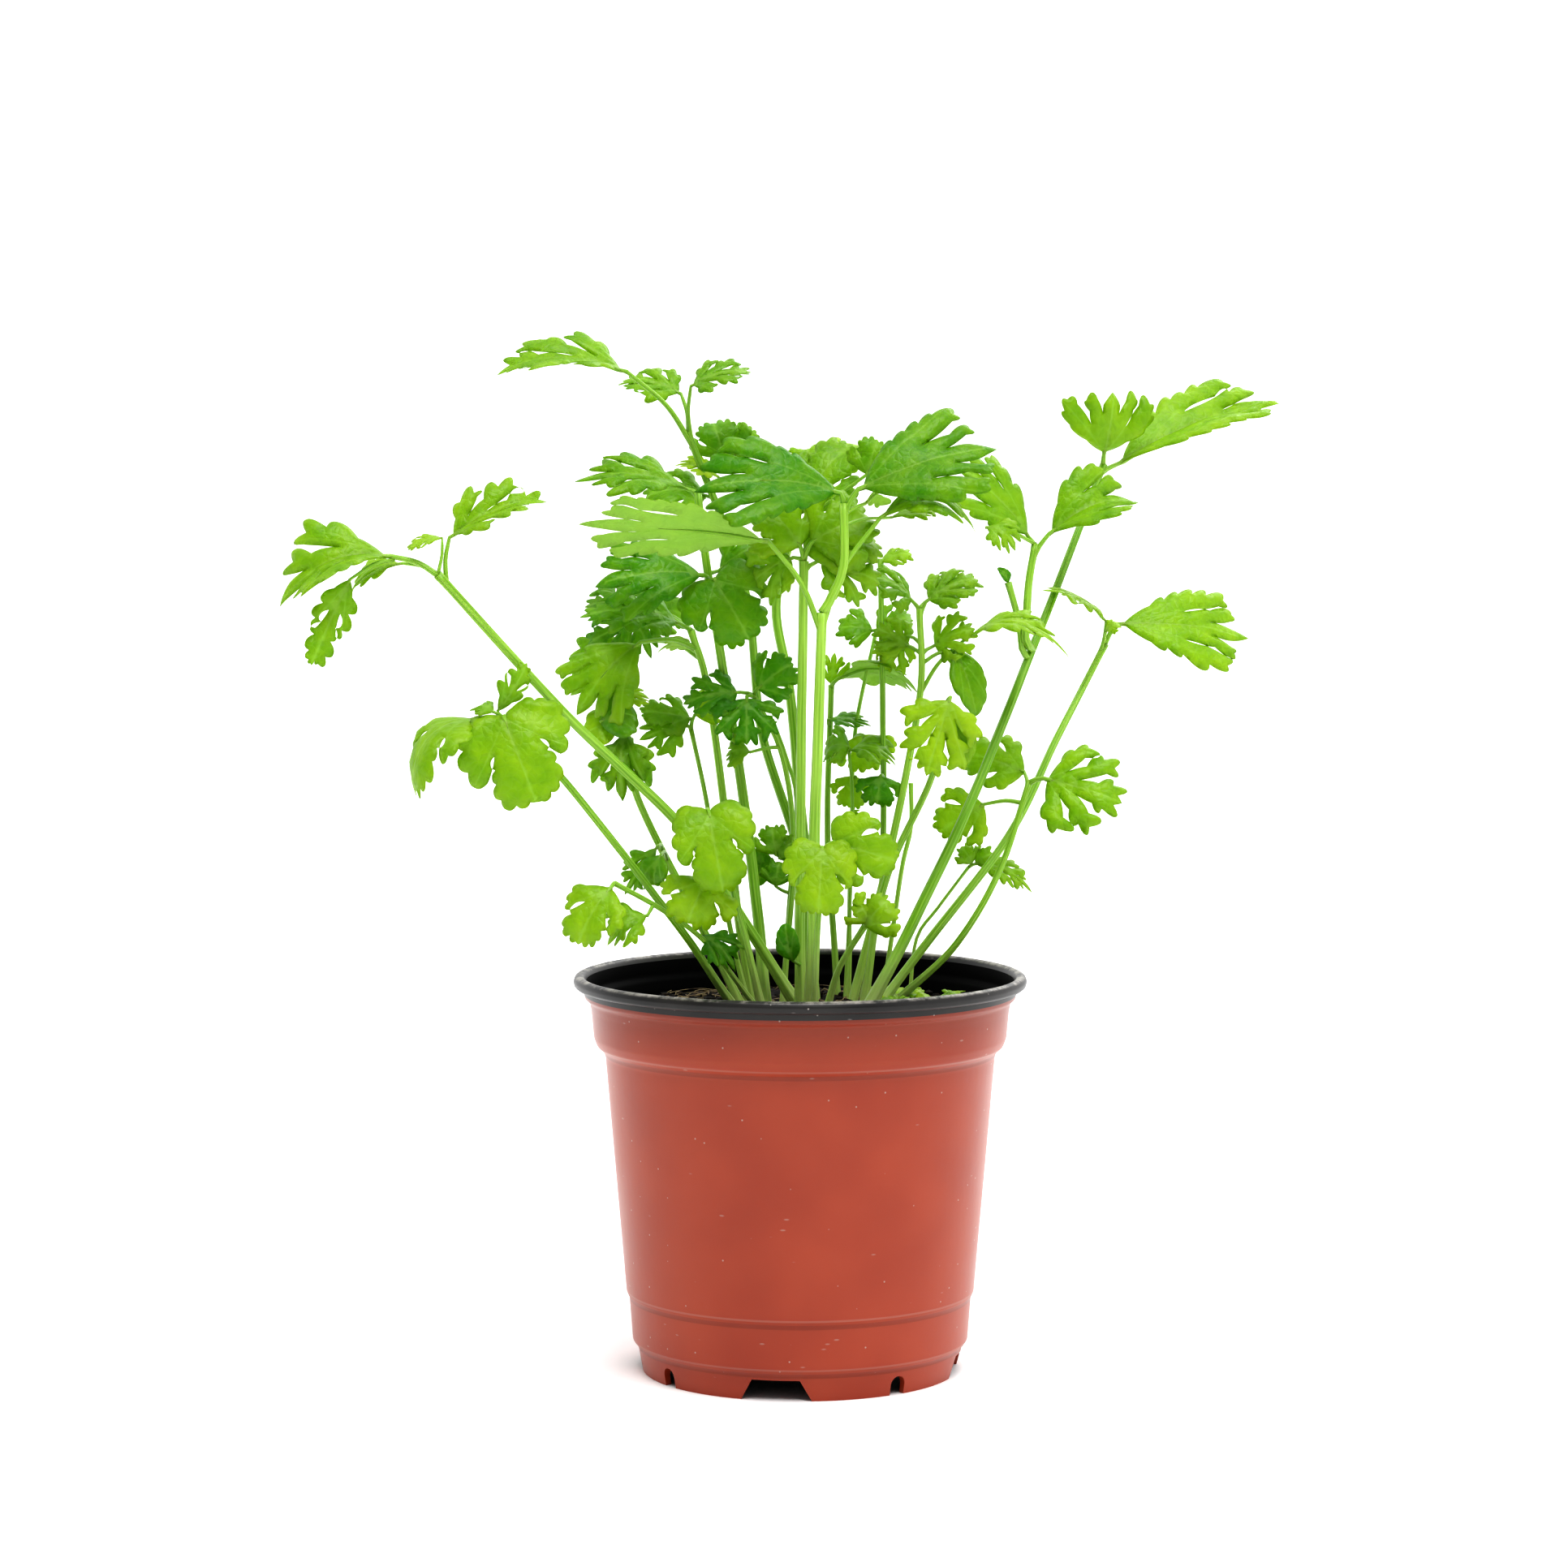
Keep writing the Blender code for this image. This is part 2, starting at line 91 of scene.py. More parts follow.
# Thin stalks between them, too fine for solids of their own.
THIN_STALKS = {
    "low_left": (0.9, 0.8, ((-13, -27, 109), (-26, -36, 127), (-38, -42, 137), (-51, -48, 145))),
    "high_left": (0.9, 0.7, ((-15, -4, 106), (-22, -4, 137), (-27, -6, 166), (-31, -8, 185))),
    "tall_right": (1.0, 0.9, ((18, 8, 105), (22, 8, 130), (24, 8, 153), (23, 8, 233))),
    "low_right": (0.6, 0.5, ((32, 20, 106), (34, 20, 122), (40, 20, 131), (49, 20, 143))),
    "pale_right": (0.8, 0.7, ((24, 14, 105), (29, 14, 141), (32, 14, 155), (32, 14, 168))),
    "back_right": (0.8, 0.6, ((14, 18, 103), (15, 20, 159), (16, 20, 183), (22, 18, 212))),
    "short_front": (1.0, 0.9, ((8, -30, 110), (11, -32, 120), (18, -36, 132))),
    "middle": (0.8, 0.6, ((-5, 4, 105), (-3, 4, 137), (-1, 4, 163), (-4, 4, 176), (-8, 4, 187))),
    "middle_back": (0.7, 0.5, ((13, 6, 105), (15, 6, 159), (14, 6, 178))),
    "cut": (0.9, 0.9, ((64, 16, 207), (63, 16, 215), (60, 16, 226))),
}
# Stalks that start on another stalk and not in the compost.
BRANCHES = {"stem_11": "stem_10", "stem_15": "stem_14", "cut": "stem_14"}
# How far each stalk's colour is from dark green (0) to pale yellow green (1). The others
# have MIDDLE_AGE.
MIDDLE_AGE = 0.45
STALK_AGE = {"stem_01": 0.3, "stem_02": 0.5, "stem_04": 0.7, "stem_05": 0.3, "stem_06": 0.25,
             "stem_09": 0.7, "stem_10": 0.75, "stem_11": 0.65, "stem_12": 0.7, "stem_14": 0.1,
             "stem_15": 0.5, "pale_right": 1.0, "low_right": 0.9, "back_right": 0.8}

# blade: stalk that bears it, distance below that stalk's tip, base and tip of the blade,
# way that its upper face looks, half width, outline, arch, fold (degrees), and the age of its
# colour, from mature dark green (0) to young yellow green (1)
BLADES = {
    "leaf_01": ("stem_01", 0, (-80, -65, 192), (-71, -70, 169), (0, -10, 2), 21, "round", 2, 0, .5),
    "leaf_02": ("stem_01", 4, (-88, -60, 191), (-103, -64, 171), (-6, -5, 6), 15, "fan", 8, 0, .5),
    "leaf_03": ("stem_02", 0, (-111, -58, 235), (-140, -59, 223), (0, -6, 8), 18, "long", 6, 30,
                .45),
    "leaf_04": ("stem_02", 3, (-95, -58, 240), (-69, -54, 250), (0, -6, 8), 11, "finger", 3, 30,
                .5),
    "leaf_05": ("stem_02", 5, (-121, -66, 229), (-131, -71, 206), (3, -10, 0), 5.5, "fan", -2, 10,
                .4),
    "leaf_06": ("stem_06", 4, (-49, -8, 286), (-85, -14, 286), (0, -4, 9), 15, "finger", 4, 22,
                .4),
    "leaf_07": ("stem_06", 0, (-34, 4, 280), (-51, 10, 284), (0, -6, 8), 10, "finger", 2, 10,
                .35),
    "leaf_08": ("stem_06", 3, (-31, -3, 282), (-14, -4, 286), (0, -6, 8), 9, "finger", 2, 10, .3),
    "leaf_09": ("stem_05", 0, (-32, -9, 253), (-62, -14, 254), (0, -5, 9), 14, "long", 4, 15, .3),
    "leaf_10": ("stem_11", 0, (11, -34, 252), (-26, -42, 254), (0, -8, 6), 16, "hand", 4, 10, .1),
    "leaf_11": ("stem_11", 3, (16, -33, 253), (52, -28, 264), (0, -8, 6), 18, "hand", 3, 10, .2),
    "leaf_12": ("stem_10", 5, (-9, -42, 239), (-57, -50, 242), (0, 6, 8), 16, "hand", 2, 10, .5),
    "leaf_13": ("stem_10", 4, (22, -33, 245), (48, -26, 243), (0, -4, 9), 14, "long", 8, 10, .4),
    "leaf_14": ("stem_05", 25, (-27, -20, 229), (-55, -27, 227), (0, -8, 6), 12, "hand", 3, 5, .1),
    "leaf_15": ("stem_05", 28, (-24, -21, 228), (-14, -27, 211), (0, -10, 1), 17, "round", 2, 5,
                .2),
    "leaf_16": ("stem_04", 0, (-34, -9, 215), (-62, -18, 217), (0, -7, 7), 10, "finger", 4, 10, .2),
    "leaf_17": ("stem_04", 5, (-45, -16, 210), (-62, -22, 192), (-3, -9, 3), 13, "hand", 3, 5, .45),
    "leaf_18": ("stem_03", 0, (-49, -21, 185), (-50, -26, 167), (-2, -10, 0), 9, "long", 3, 10,
                .3),
    "leaf_19": ("stem_07", 0, (-15, -20, 195), (-15, -24, 182), (0, -10, 2), 12, "finger", 1, 5,
                0),
    "leaf_20": ("stem_09", 0, (1, -25, 236), (21, -14, 238), (0, -8, 6), 15, "fan", 3, 5, .5),
    "leaf_21": ("stem_08", 0, (0, 13, 246), (15, 20, 266), (0, -6, 8), 15, "fan", 3, 5, .4),
    "leaf_22": ("stem_12", 0, (32, -1, 221), (20, -6, 228), (0, -6, 8), 10, "finger", 2, 5, .3),
    "leaf_23": ("stem_12", 3, (36, 2, 221), (51, 6, 227), (0, -6, 8), 10, "finger", 2, 5, .4),
    "leaf_24": ("stem_12", 24, (47, 2, 210), (75, -4, 208), (0, -3, 9), 9, "long", 7, 10, .6),
    "leaf_25": ("stem_13", 0, (42, -24, 195), (35, -27, 173), (1, -10, 1), 13, "finger", 1, 5, .7),
    "leaf_26": ("stem_18", 0, (11, 19, 198), (33, 12, 195), (0, 4, 9), 14, "long", 5, 5, .5),
    "leaf_27": ("stem_17", 0, (70, 6, 170), (92, 0, 163), (0, -9, 4), 17, "finger", 2, 5, .45),
    "leaf_28": ("stem_17", 3, (65, 17, 171), (48, 22, 176), (0, -9, 4), 11, "fan", 2, 5, .5),
    "leaf_29": ("stem_17", 6, (53, 12, 162), (40, 12, 154), (0, -10, 2), 11, "fan", 1, 5, .6),
    "leaf_30": ("stem_14", 0, (90, 51, 263), (92, 46, 280), (2, -9, 3), 15, "hand", 2, 5, .5),
    "leaf_31": ("stem_14", 3, (94, 54, 260), (141, 72, 279), (0, -5, 8), 17, "hand", 3, 28, .5),
    "leaf_32": ("stem_15", 0, (66, 18, 239), (46, 14, 258), (3, -8, 5), 11, "hand", 3, 10, .4),
    "leaf_33": ("stem_15", 4, (72, 19, 240), (95, 25, 251), (0, -7, 7), 14, "hand", 3, 28, .4),
    "leaf_34": ("stem_16", 0, (94, 43, 213), (131, 51, 209), (0, -8, 5), 14, "hand", 3, 8, .5),
    "leaf_35": ("stem_16", 3, (90, 39, 214), (71, 20, 223), (0, -4, 9), 6, "long", 3, 0, .6),
    "leaf_36": ("stem_20", 0, (-25, -49, 165), (-21, -54, 143), (0, -10, 1), 15, "round", 2, 5, .5),
    "leaf_37": ("stem_19", 0, (9, -54, 157), (26, -57, 152), (0, -10, 2), 13, "round", 1, 5, .5),
    "leaf_38": ("stem_19", 3, (6, -58, 156), (5, -63, 138), (0, -10, 1), 13, "round", 1, 5, .6),
}
# Blades whose own stalk starts elsewhere.
ROOTS = {"leaf_05": (-110, -58, 234)}
# Small leaflets, in the same form but for the distance. Each grows from a near point of its
# stalk, at best 4 mm lower than its base.
LEAFLETS = (
    ("stem_02", (-108, -56, 233), (-123, -50, 225), (0, -6, 8), 5, "long", 3, 10, .6),
    ("stem_02", (-97, -58, 240), (-106, -60, 237), (0, -4, 9), 3, "small", 1, 10, .7),
    ("stem_01", (-82, -60, 193), (-74, -58, 206), (6, -9, 3), 3, "small", 1, 0, .4),
    ("stem_01", (-83, -62, 193), (-88, -60, 194), (0, -5, 9), 4, "small", 1, 0, .4),
    ("stem_06", (-27, 6, 251), (-44, 4, 251), (0, -6, 8), 9, "fan", 2, 5, .3),
    ("stem_06", (-22, 12, 262), (-25, 14, 272), (0, -9, 4), 9, "fan", 2, 5, .2),
    ("stem_06", (-19, 14, 262), (-16, 16, 271), (2, -9, 4), 7, "fan", 1, 5, .3),
    ("stem_06", (-23, 6, 256), (-35, 4, 260), (0, -4, 9), 6, "long", 2, 5, .9),
    ("stem_08", (19, 6, 257), (22, 8, 267), (0, -9, 4), 7, "fan", 1, 5, .3),
    ("stem_08", (8, 26, 260), (18, 28, 265), (0, -5, 9), 9, "fan", 2, 5, .7),
    ("stem_08", (3, 30, 260), (2, 34, 265), (0, -6, 8), 9, "fan", 1, 5, .5),
    ("stem_11", (18, -30, 249), (28, -26, 253), (0, 4, 9), 8, "long", 2, 5, .8),
    ("stem_11", (25, -20, 245), (40, -16, 247), (0, -3, 9), 4, "long", 1, 5, .6),
    ("stem_15", (53, 2, 242), (61, 0, 236), (3, -8, 5), 6, "long", 3, 10, .5),
    ("stem_09", (0, -26, 237), (-9, -22, 248), (0, -9, 4), 12, "fan", 2, 5, .5),
    ("stem_09", (3, -26, 238), (19, -22, 246), (0, -9, 4), 13, "fan", 2, 5, .45),
    ("stem_09", (5, -26, 233), (22, -20, 226), (0, -8, 5), 10, "finger", 2, 5, .45),
    ("stem_09", (-2, -26, 234), (-14, -22, 226), (0, -8, 5), 9, "finger", 2, 5, .4),
    ("stem_05", (-23, -14, 230), (-10, -12, 238), (0, -8, 5), 8, "long", 2, 5, .2),
    ("tall_right", (23, 8, 232), (32, 8, 234), (0, -5, 9), 4, "small", 1, 5, .6),
    ("stem_04", (-46, 10, 219), (-62, 10, 219), (0, -7, 7), 9, "finger", 2, 5, .15),
    ("stem_04", (-43, 12, 216), (-62, 14, 208), (0, -8, 5), 8, "finger", 2, 5, .1),
    ("stem_04", (-46, 16, 209), (-66, 18, 194), (2, -9, 4), 9, "long", 2, 5, .4),
    ("stem_04", (-49, 8, 219), (-43, 6, 205), (2, -10, 0), 7, "long", 3, 20, .15),
    ("stem_04", (-43, 12, 218), (-33, 14, 217), (0, -8, 5), 8, "fan", 1, 5, .3),
    ("stem_04", (-30, -2, 207), (-40, -4, 208), (0, 4, 9), 6, "long", 2, 5, .9),
    ("high_left", (-31, -8, 188), (-45, -12, 190), (0, -8, 5), 6, "fan", 1, 5, .3),
    ("high_left", (-32, -8, 186), (-45, -12, 182), (0, -8, 5), 7, "long", 2, 5, .35),
    ("high_left", (-30, -6, 189), (-23, -4, 192), (0, -8, 5), 6, "small", 1, 5, .8),
    ("stem_03", (-56, -22, 188), (-46, -20, 189), (-2, -9, 5), 8, "oval", 3, 10, .2),
    ("stem_03", (-53, -18, 193), (-43, -14, 195), (0, -6, 8), 6, "long", 2, 5, .8),
    ("stem_03", (-49, -20, 184), (-50, -24, 167), (-2, -10, 1), 9, "long", 3, 10, .35),
    ("stem_03", (-52, -18, 186), (-60, -20, 185), (0, -8, 5), 6, "oval", 2, 5, .6),
    ("stem_07", (-12, -18, 197), (-2, -18, 204), (0, -8, 5), 8, "fan", 1, 5, .05),
    ("stem_07", (-17, -18, 196), (-33, -18, 193), (0, -8, 5), 7, "finger", 2, 5, .05),
    ("stem_07", (-14, -16, 179), (-21, -14, 178), (0, -8, 5), 5, "long", 2, 5, .4),
    ("stem_12", (38, 6, 222), (51, 10, 227), (0, -7, 7), 5, "finger", 1, 5, .4),
    ("stem_12", (38, 4, 208), (50, 2, 213), (0, -8, 5), 8, "finger", 2, 5, .55),
    ("stem_12", (31, 4, 208), (22, 6, 213), (0, -8, 5), 7, "finger", 1, 5, .5),
    ("stem_12", (30, 6, 211), (24, 8, 201), (0, -9, 4), 6, "finger", 1, 5, .65),
    ("stem_12", (44, 2, 207), (50, -2, 189), (3, -9, 2), 6, "oval", 2, 25, .3),
    ("stem_13", (42, -20, 191), (46, -22, 176), (3, -9, 2), 5, "oval", 2, 25, .5),
    ("back_right", (21, 18, 212), (11, 18, 213), (0, -8, 5), 6, "small", 1, 5, .3),
    ("back_right", (22, 18, 212), (32, 18, 216), (0, -8, 5), 6, "fan", 1, 5, .35),
    ("stem_18", (9, 22, 196), (10, 22, 205), (0, -9, 2), 5, "long", 1, 5, .7),
    ("stem_18", (8, 20, 186), (20, 18, 185), (0, -3, 9), 6, "long", 1, 5, .1),
    ("middle_back", (14, 6, 178), (27, 4, 175), (0, -4, 9), 9, "long", 3, 5, .35),
    ("middle_back", (14, 6, 179), (7, 8, 177), (0, -6, 8), 8, "fan", 2, 5, .3),
    ("back_right", (18, 14, 182), (20, 14, 172), (0, -9, 3), 9, "fan", 1, 5, .8),
    ("tall_right", (23, 2, 171), (22, 0, 163), (0, -9, 3), 7, "fan", 1, 5, .05),
    ("back_right", (16, 14, 170), (14, 14, 161), (0, -9, 3), 6, "fan", 1, 5, .75),
    ("middle_back", (10, 8, 157), (19, 8, 158), (0, -3, 9), 6, "long", 1, 5, .9),
    ("middle", (-7, -6, 149), (-8, -6, 157), (0, -9, 3), 6, "fan", 1, 5, .3),
    ("middle", (-6, -6, 148), (-2, -6, 153), (0, -9, 3), 5, "small", 1, 5, .3),
    ("middle", (-7, -6, 140), (-6, -6, 147), (0, -9, 3), 5, "small", 1, 5, .2),
    ("stem_07", (-12, -2, 151), (-12, -2, 140), (4, -9, 0), 4, "oval", 1, 20, .1),
    ("stem_03", (-39, -30, 151), (-41, -30, 143), (-4, -9, 2), 5, "oval", 1, 20, .2),
    ("stem_03", (-40, -24, 153), (-49, -24, 140), (-3, -9, 3), 5, "long", 1, 20, .2),
    ("stem_20", (-26, -46, 146), (-31, -48, 134), (0, -10, 1), 11, "fan", 2, 5, .6),
    ("low_left", (-52, -50, 144), (-61, -54, 129), (-2, -9, 4), 9, "fan", 2, 10, .55),
    ("low_left", (-42, -46, 136), (-53, -48, 129), (-1, -8, 6), 7, "long", 3, 10, .45),
    ("stem_20", (-28, -34, 129), (-18, -36, 120), (2, -8, 5), 6, "long", 3, 20, .05),
    ("stem_09", (-2, -34, 122), (-4, -34, 132), (-3, -9, 1), 4, "oval", 1, 25, .05),
    ("short_front", (18, -38, 132), (25, -38, 139), (0, -8, 5), 8, "fan", 2, 5, .6),
    ("short_front", (19, -38, 133), (17, -38, 138), (0, -8, 5), 6, "small", 1, 5, .65),
    ("low_right", (50, 20, 144), (47, 20, 149), (0, -8, 5), 4, "small", 1, 5, .5),
    ("low_right", (51, 20, 144), (56, 20, 147), (0, -8, 5), 4, "small", 1, 5, .5),
    ("low_right", (51, 20, 144), (67, 18, 137), (0, -6, 8), 4, "long", 3, 5, .5),
    ("stem_16", (90, 38, 211), (94, 38, 213), (0, -6, 8), 3, "small", 1, 5, .8),
    ("cut", (60, 16, 226), (57, 15, 230), (3, -9, 2), 2, "oval", 1, 40, 0),
)

# Outlines of one half of a blade, from its base to its tip: across in half widths, along in
# lengths, and teeth on the way there. -1 leads down into the cut between two lobes.
OUTLINES = {
    "fan": ((0.10, 0.02, 0), (0.66, 0.16, 0), (0.94, 0.34, 1), (0.96, 0.52, 1), (0.72, 0.62, 1),
            (0.40, 0.38, -1), (0.58, 0.66, 1), (0.58, 0.86, 1), (0.34, 0.93, 1),
            (0.10, 0.97, 1), (0.0, 1.0, 0)),
    "round": ((0.06, -0.03, 0), (0.40, -0.10, 0), (0.86, 0.0, 1), (1.0, 0.20, 1),
              (0.98, 0.42, 1), (0.72, 0.60, 1), (0.44, 0.38, -1), (0.62, 0.66, 1),
              (0.56, 0.86, 1), (0.34, 0.95, 1), (0.10, 0.98, 1), (0.0, 1.0, 0)),
    "long": ((0.06, 0.05, 0), (0.40, 0.20, 0), (0.82, 0.42, 1), (0.94, 0.60, 1),
             (0.66, 0.68, 1), (0.24, 0.34, -1), (0.38, 0.60, 0), (0.50, 0.80, 1),
             (0.28, 0.84, 1), (0.14, 0.66, -1), (0.17, 0.88, 0), (0.0, 1.05, 0)),
    "hand": ((0.06, 0.05, 0), (0.50, 0.24, 0), (0.86, 0.48, 1), (1.0, 0.70, 1),
             (0.97, 0.86, 1), (0.74, 0.82, 1), (0.40, 0.52, -1), (0.54, 0.76, 0),
             (0.60, 0.94, 1), (0.38, 0.92, 1), (0.18, 0.70, -1), (0.21, 0.88, 0),
             (0.0, 1.07, 0)),
    "finger": ((0.05, 0.05, 0), (0.46, 0.12, 0), (0.84, 0.22, 1), (0.96, 0.38, 1),
               (0.72, 0.40, 1), (0.22, 0.22, -1), (0.54, 0.44, 0), (0.80, 0.62, 1),
               (0.74, 0.76, 1), (0.46, 0.70, 1), (0.14, 0.40, -1), (0.24, 0.66, 0),
               (0.30, 0.82, 1), (0.12, 0.92, 1), (0.0, 1.0, 0)),
    "small": ((0.10, 0.03, 0), (0.70, 0.26, 0), (0.96, 0.50, 1), (0.76, 0.66, 1),
              (0.42, 0.46, -1), (0.54, 0.80, 1), (0.22, 0.94, 1), (0.0, 1.0, 0)),
    "oval": ((0.25, 0.04, 0), (0.80, 0.25, 0), (1.0, 0.50, 1), (0.86, 0.72, 1), (0.52, 0.92, 1),
             (0.0, 1.03, 1)),
}
# Teeth of each outline: their width in mm, reach out and reach forward in widths, bluntness.
TEETH = {"fan": (4.2, 0.42, 0.15, 2.8), "round": (4.4, 0.32, 0.05, 2.8),
         "long": (6.0, 0.62, 0.35, 2.5), "finger": (5.0, 0.65, 0.35, 2.6),
         "hand": (6.0, 0.36, 0.30, 2.2), "small": (4.0, 0.50, 0.30, 2.4),
         "oval": (6.0, 0.12, 0.05, 2.0)}
# Share of its half width in the table that a drawn blade takes, teeth apart.
DRAWN = {"fan": 0.76, "round": 0.70, "long": 0.80, "finger": 0.80, "hand": 0.86}

# ---- pot and compost profiles, in millimetres ------------------------------------------------
POT_INNER = ((0.0, 7.3), (44.6, 7.3), (46.8, 9.4), (48.25, 21.6), (49.1, 23.4), (54.95, 91.4),
             (57.2, 94.3), (58.3, 96.8), (59.0, 104.4), (59.6, 106.9), (60.9, 108.3),
             (61.3, 112.6))
POT_RIM = ((62.1, 113.9), (63.3, 114.3), (64.5, 113.8), (65.0, 112.6), (64.8, 111.3),
           (64.0, 110.6), (62.2, 110.6))
POT_OUTER = ((61.8, 107.8), (60.4, 106.6), (59.9, 104.0), (59.2, 96.4), (58.4, 94.2),
             (56.4, 92.3), (55.9, 90.8), (50.05, 23.0), (49.2, 21.2), (48.25, 9.0),
             (46.75, 7.1), (46.4, 5.4), (45.4, 0.0))
POT_FOOT = ((43.6, 0.0), (44.4, 6.4), (0.0, 6.4))
# Foot notches: width at the top, width at the bottom, height. Then where they start and how
# far out they run, and how far the first is turned from the front, in degrees.
BIG_NOTCH, SMALL_NOTCH = (13.6, 21.0, 6.0), (4.8, 4.8, 5.4)
NOTCH_START, NOTCH_RUN, NOTCH_TURN = 36, 20, -8.5
GROOVES = (0.0073, 0.0215, 0.0920)  # heights of the shell's three grooves, in metres
# Drain holes: radius, height of the cutter, radius of the circle that they lie on, height.
DRAIN_RADIUS, DRAIN_DEPTH, DRAIN_CIRCLE, DRAIN_HEIGHT = 4, 6, 32, 7
COMPOST_TOP = ((0.0, 106.8), (18.0, 106.4), (36.0, 105.6), (52.0, 104.6), (58.6, 103.2))
COMPOST_SIDE = ((57.8, 97.1), (56.3, 94.9), (54.2, 91.8), (48.4, 23.7), (47.6, 21.8),
                (46.0, 9.6), (44.3, 7.65), (0.0, 7.65))
COMPOST_TURNS = 176
COMPOST_EDGE = 103.0  # the compost's side is smooth below this height
# How far from the pot's axis loose things may lie.
CRUMB_REACH, FIBRE_REACH, FIBRE_LIMIT, SCRAP_REACH = 58.0, 54.0, 57.5, 52
STRAY = 16 * MM  # the most that a drawn piece's middle may lie from its solid's

# ---- camera and lights, in metres and degrees --------------------------------------------
EYE, TILT_DOWN, TURN_LEFT = (0.0, -1.17691, 0.25721), 4.290, 0.226
LENS, FILM = 94.77, 36.0
LIT_POINT = (0, 0, 0.15)


def paint(code):
    """An sRGB hex colour in Blender's linear values."""
    channels = [int(code[i:i + 2], 16) / 255 for i in (1, 3, 5)]
    return tuple(c / 12.92 if c <= 0.04045 else ((c + 0.055) / 1.055) ** 2.4 for c in channels)


def tone(name, text, code):
    """A colour that the user may change."""
    return FloatVectorProperty(name=name, description=text, subtype="COLOR", default=paint(code),
                               min=0.0, max=1.0)


class HerbPot(bpy.types.PropertyGroup):
    shell: tone("Shell", "Colour of the pot's outer layer", "#963A21")
    shell_worn: tone("Worn shell", "Colour of the outer layer where it has been handled",
                     "#A2452A")
    lining: tone("Lining", "Colour of the pot's inner layer and lip", "#161515")
    lime_dust_and_highlight: tone("Dust", "Colour of the lime and dust on the plastic", "#B9B2AA")
    turns: IntProperty(name="Segments", description="Faces round the pot", default=192, min=48)
    fillet: FloatProperty(name="Fillet", description="Radius of the formed edges",
                          default=0.45 * MM, unit="LENGTH", subtype="DISTANCE")


class HerbCompost(bpy.types.PropertyGroup):
    peat: tone("Peat", "Colour of the damp compost", "#15110E")
    fibre: tone("Fibre", "Colour of roots and bark fibres", "#B09A74")
    crumbs: IntProperty(name="Crumbs", description="Loose crumbs on the surface", default=420)
    fibres: IntProperty(name="Fibres", description="Loose fibres on the surface", default=150)
    scraps: IntProperty(name="Scraps", description="Fallen scraps of leaf", default=20)
    roughness: FloatProperty(name="Surface relief", description="Height of the lumps",
                             default=1.1 * MM, unit="LENGTH", subtype="DISTANCE")


class HerbPlant(bpy.types.PropertyGroup):
    blade_young: tone("Young blade", "Upper face of the youngest leaves", "#BED828")
    blade_mature: tone("Mature blade", "Upper face of the oldest leaves", "#428A02")
    blade_under: tone("Under face", "Under face of the leaves", "#B4D67C")
    blade_vein: tone("Vein", "Veins of the upper face", "#BADE6E")
    stalk_green: tone("Stalk", "Leaf stalks", "#6C9C1C")
    stalk_pale: tone("Pale stalk", "The palest leaf stalks", "#A8CE58")
    stalk_foot: tone("Stalk foot", "Sheathing feet of the stalks", "#D2DC9C")
    thickness: FloatProperty(name="Blade thickness", description="Thickness of a leaf blade",
                             default=0.3 * MM, unit="LENGTH", subtype="DISTANCE")
    pitch: FloatProperty(name="Mesh pitch", description="Distance between points of a blade",
                         default=1.15 * MM, unit="LENGTH", subtype="DISTANCE")
    ripple: FloatProperty(name="Ripple", description="Waviness of the margin, in half widths",
                          default=0.10, min=0.0, max=0.5)


class HerbStage(bpy.types.PropertyGroup):
    paper: tone("Backdrop", "Colour of the paper floor", "#FFFFFF")
    surround: FloatProperty(name="Surround", description="Strength of the white surround",
                            default=0.95, min=0.0)
    front: FloatProperty(name="Front", description="Strength of the surround in front",
                         default=0.3, min=0.0)
    key: FloatProperty(name="Key light", description="Strength of the overhead bank",
                       default=1.67, min=0.0)
    fill: FloatProperty(name="Back light", description="Power of the softbox behind",
                        default=4.0, unit="POWER")


def node(tree, kind, links=None, **settings):
    """Adds a node. links maps its inputs to values or to other nodes' outputs."""
    made = tree.nodes.new(kind)
    for key, value in settings.items():
        setattr(made, key, value)
    for key, value in (links or {}).items():
        if isinstance(value, bpy.types.NodeSocket):
            tree.links.new(value, made.inputs[key])
        else:
            made.inputs[key].default_value = value
    return made


def start_material(name):
    """A material. If it is new, also its empty node tree and its output node."""
    old = bpy.data.materials.get(name)
    if old:
        return old, None, None
    mat = bpy.data.materials.new(name)
    mat.use_nodes = True
    tree = mat.node_tree
    tree.nodes.clear()
    return mat, tree, tree.nodes.new("ShaderNodeOutputMaterial")


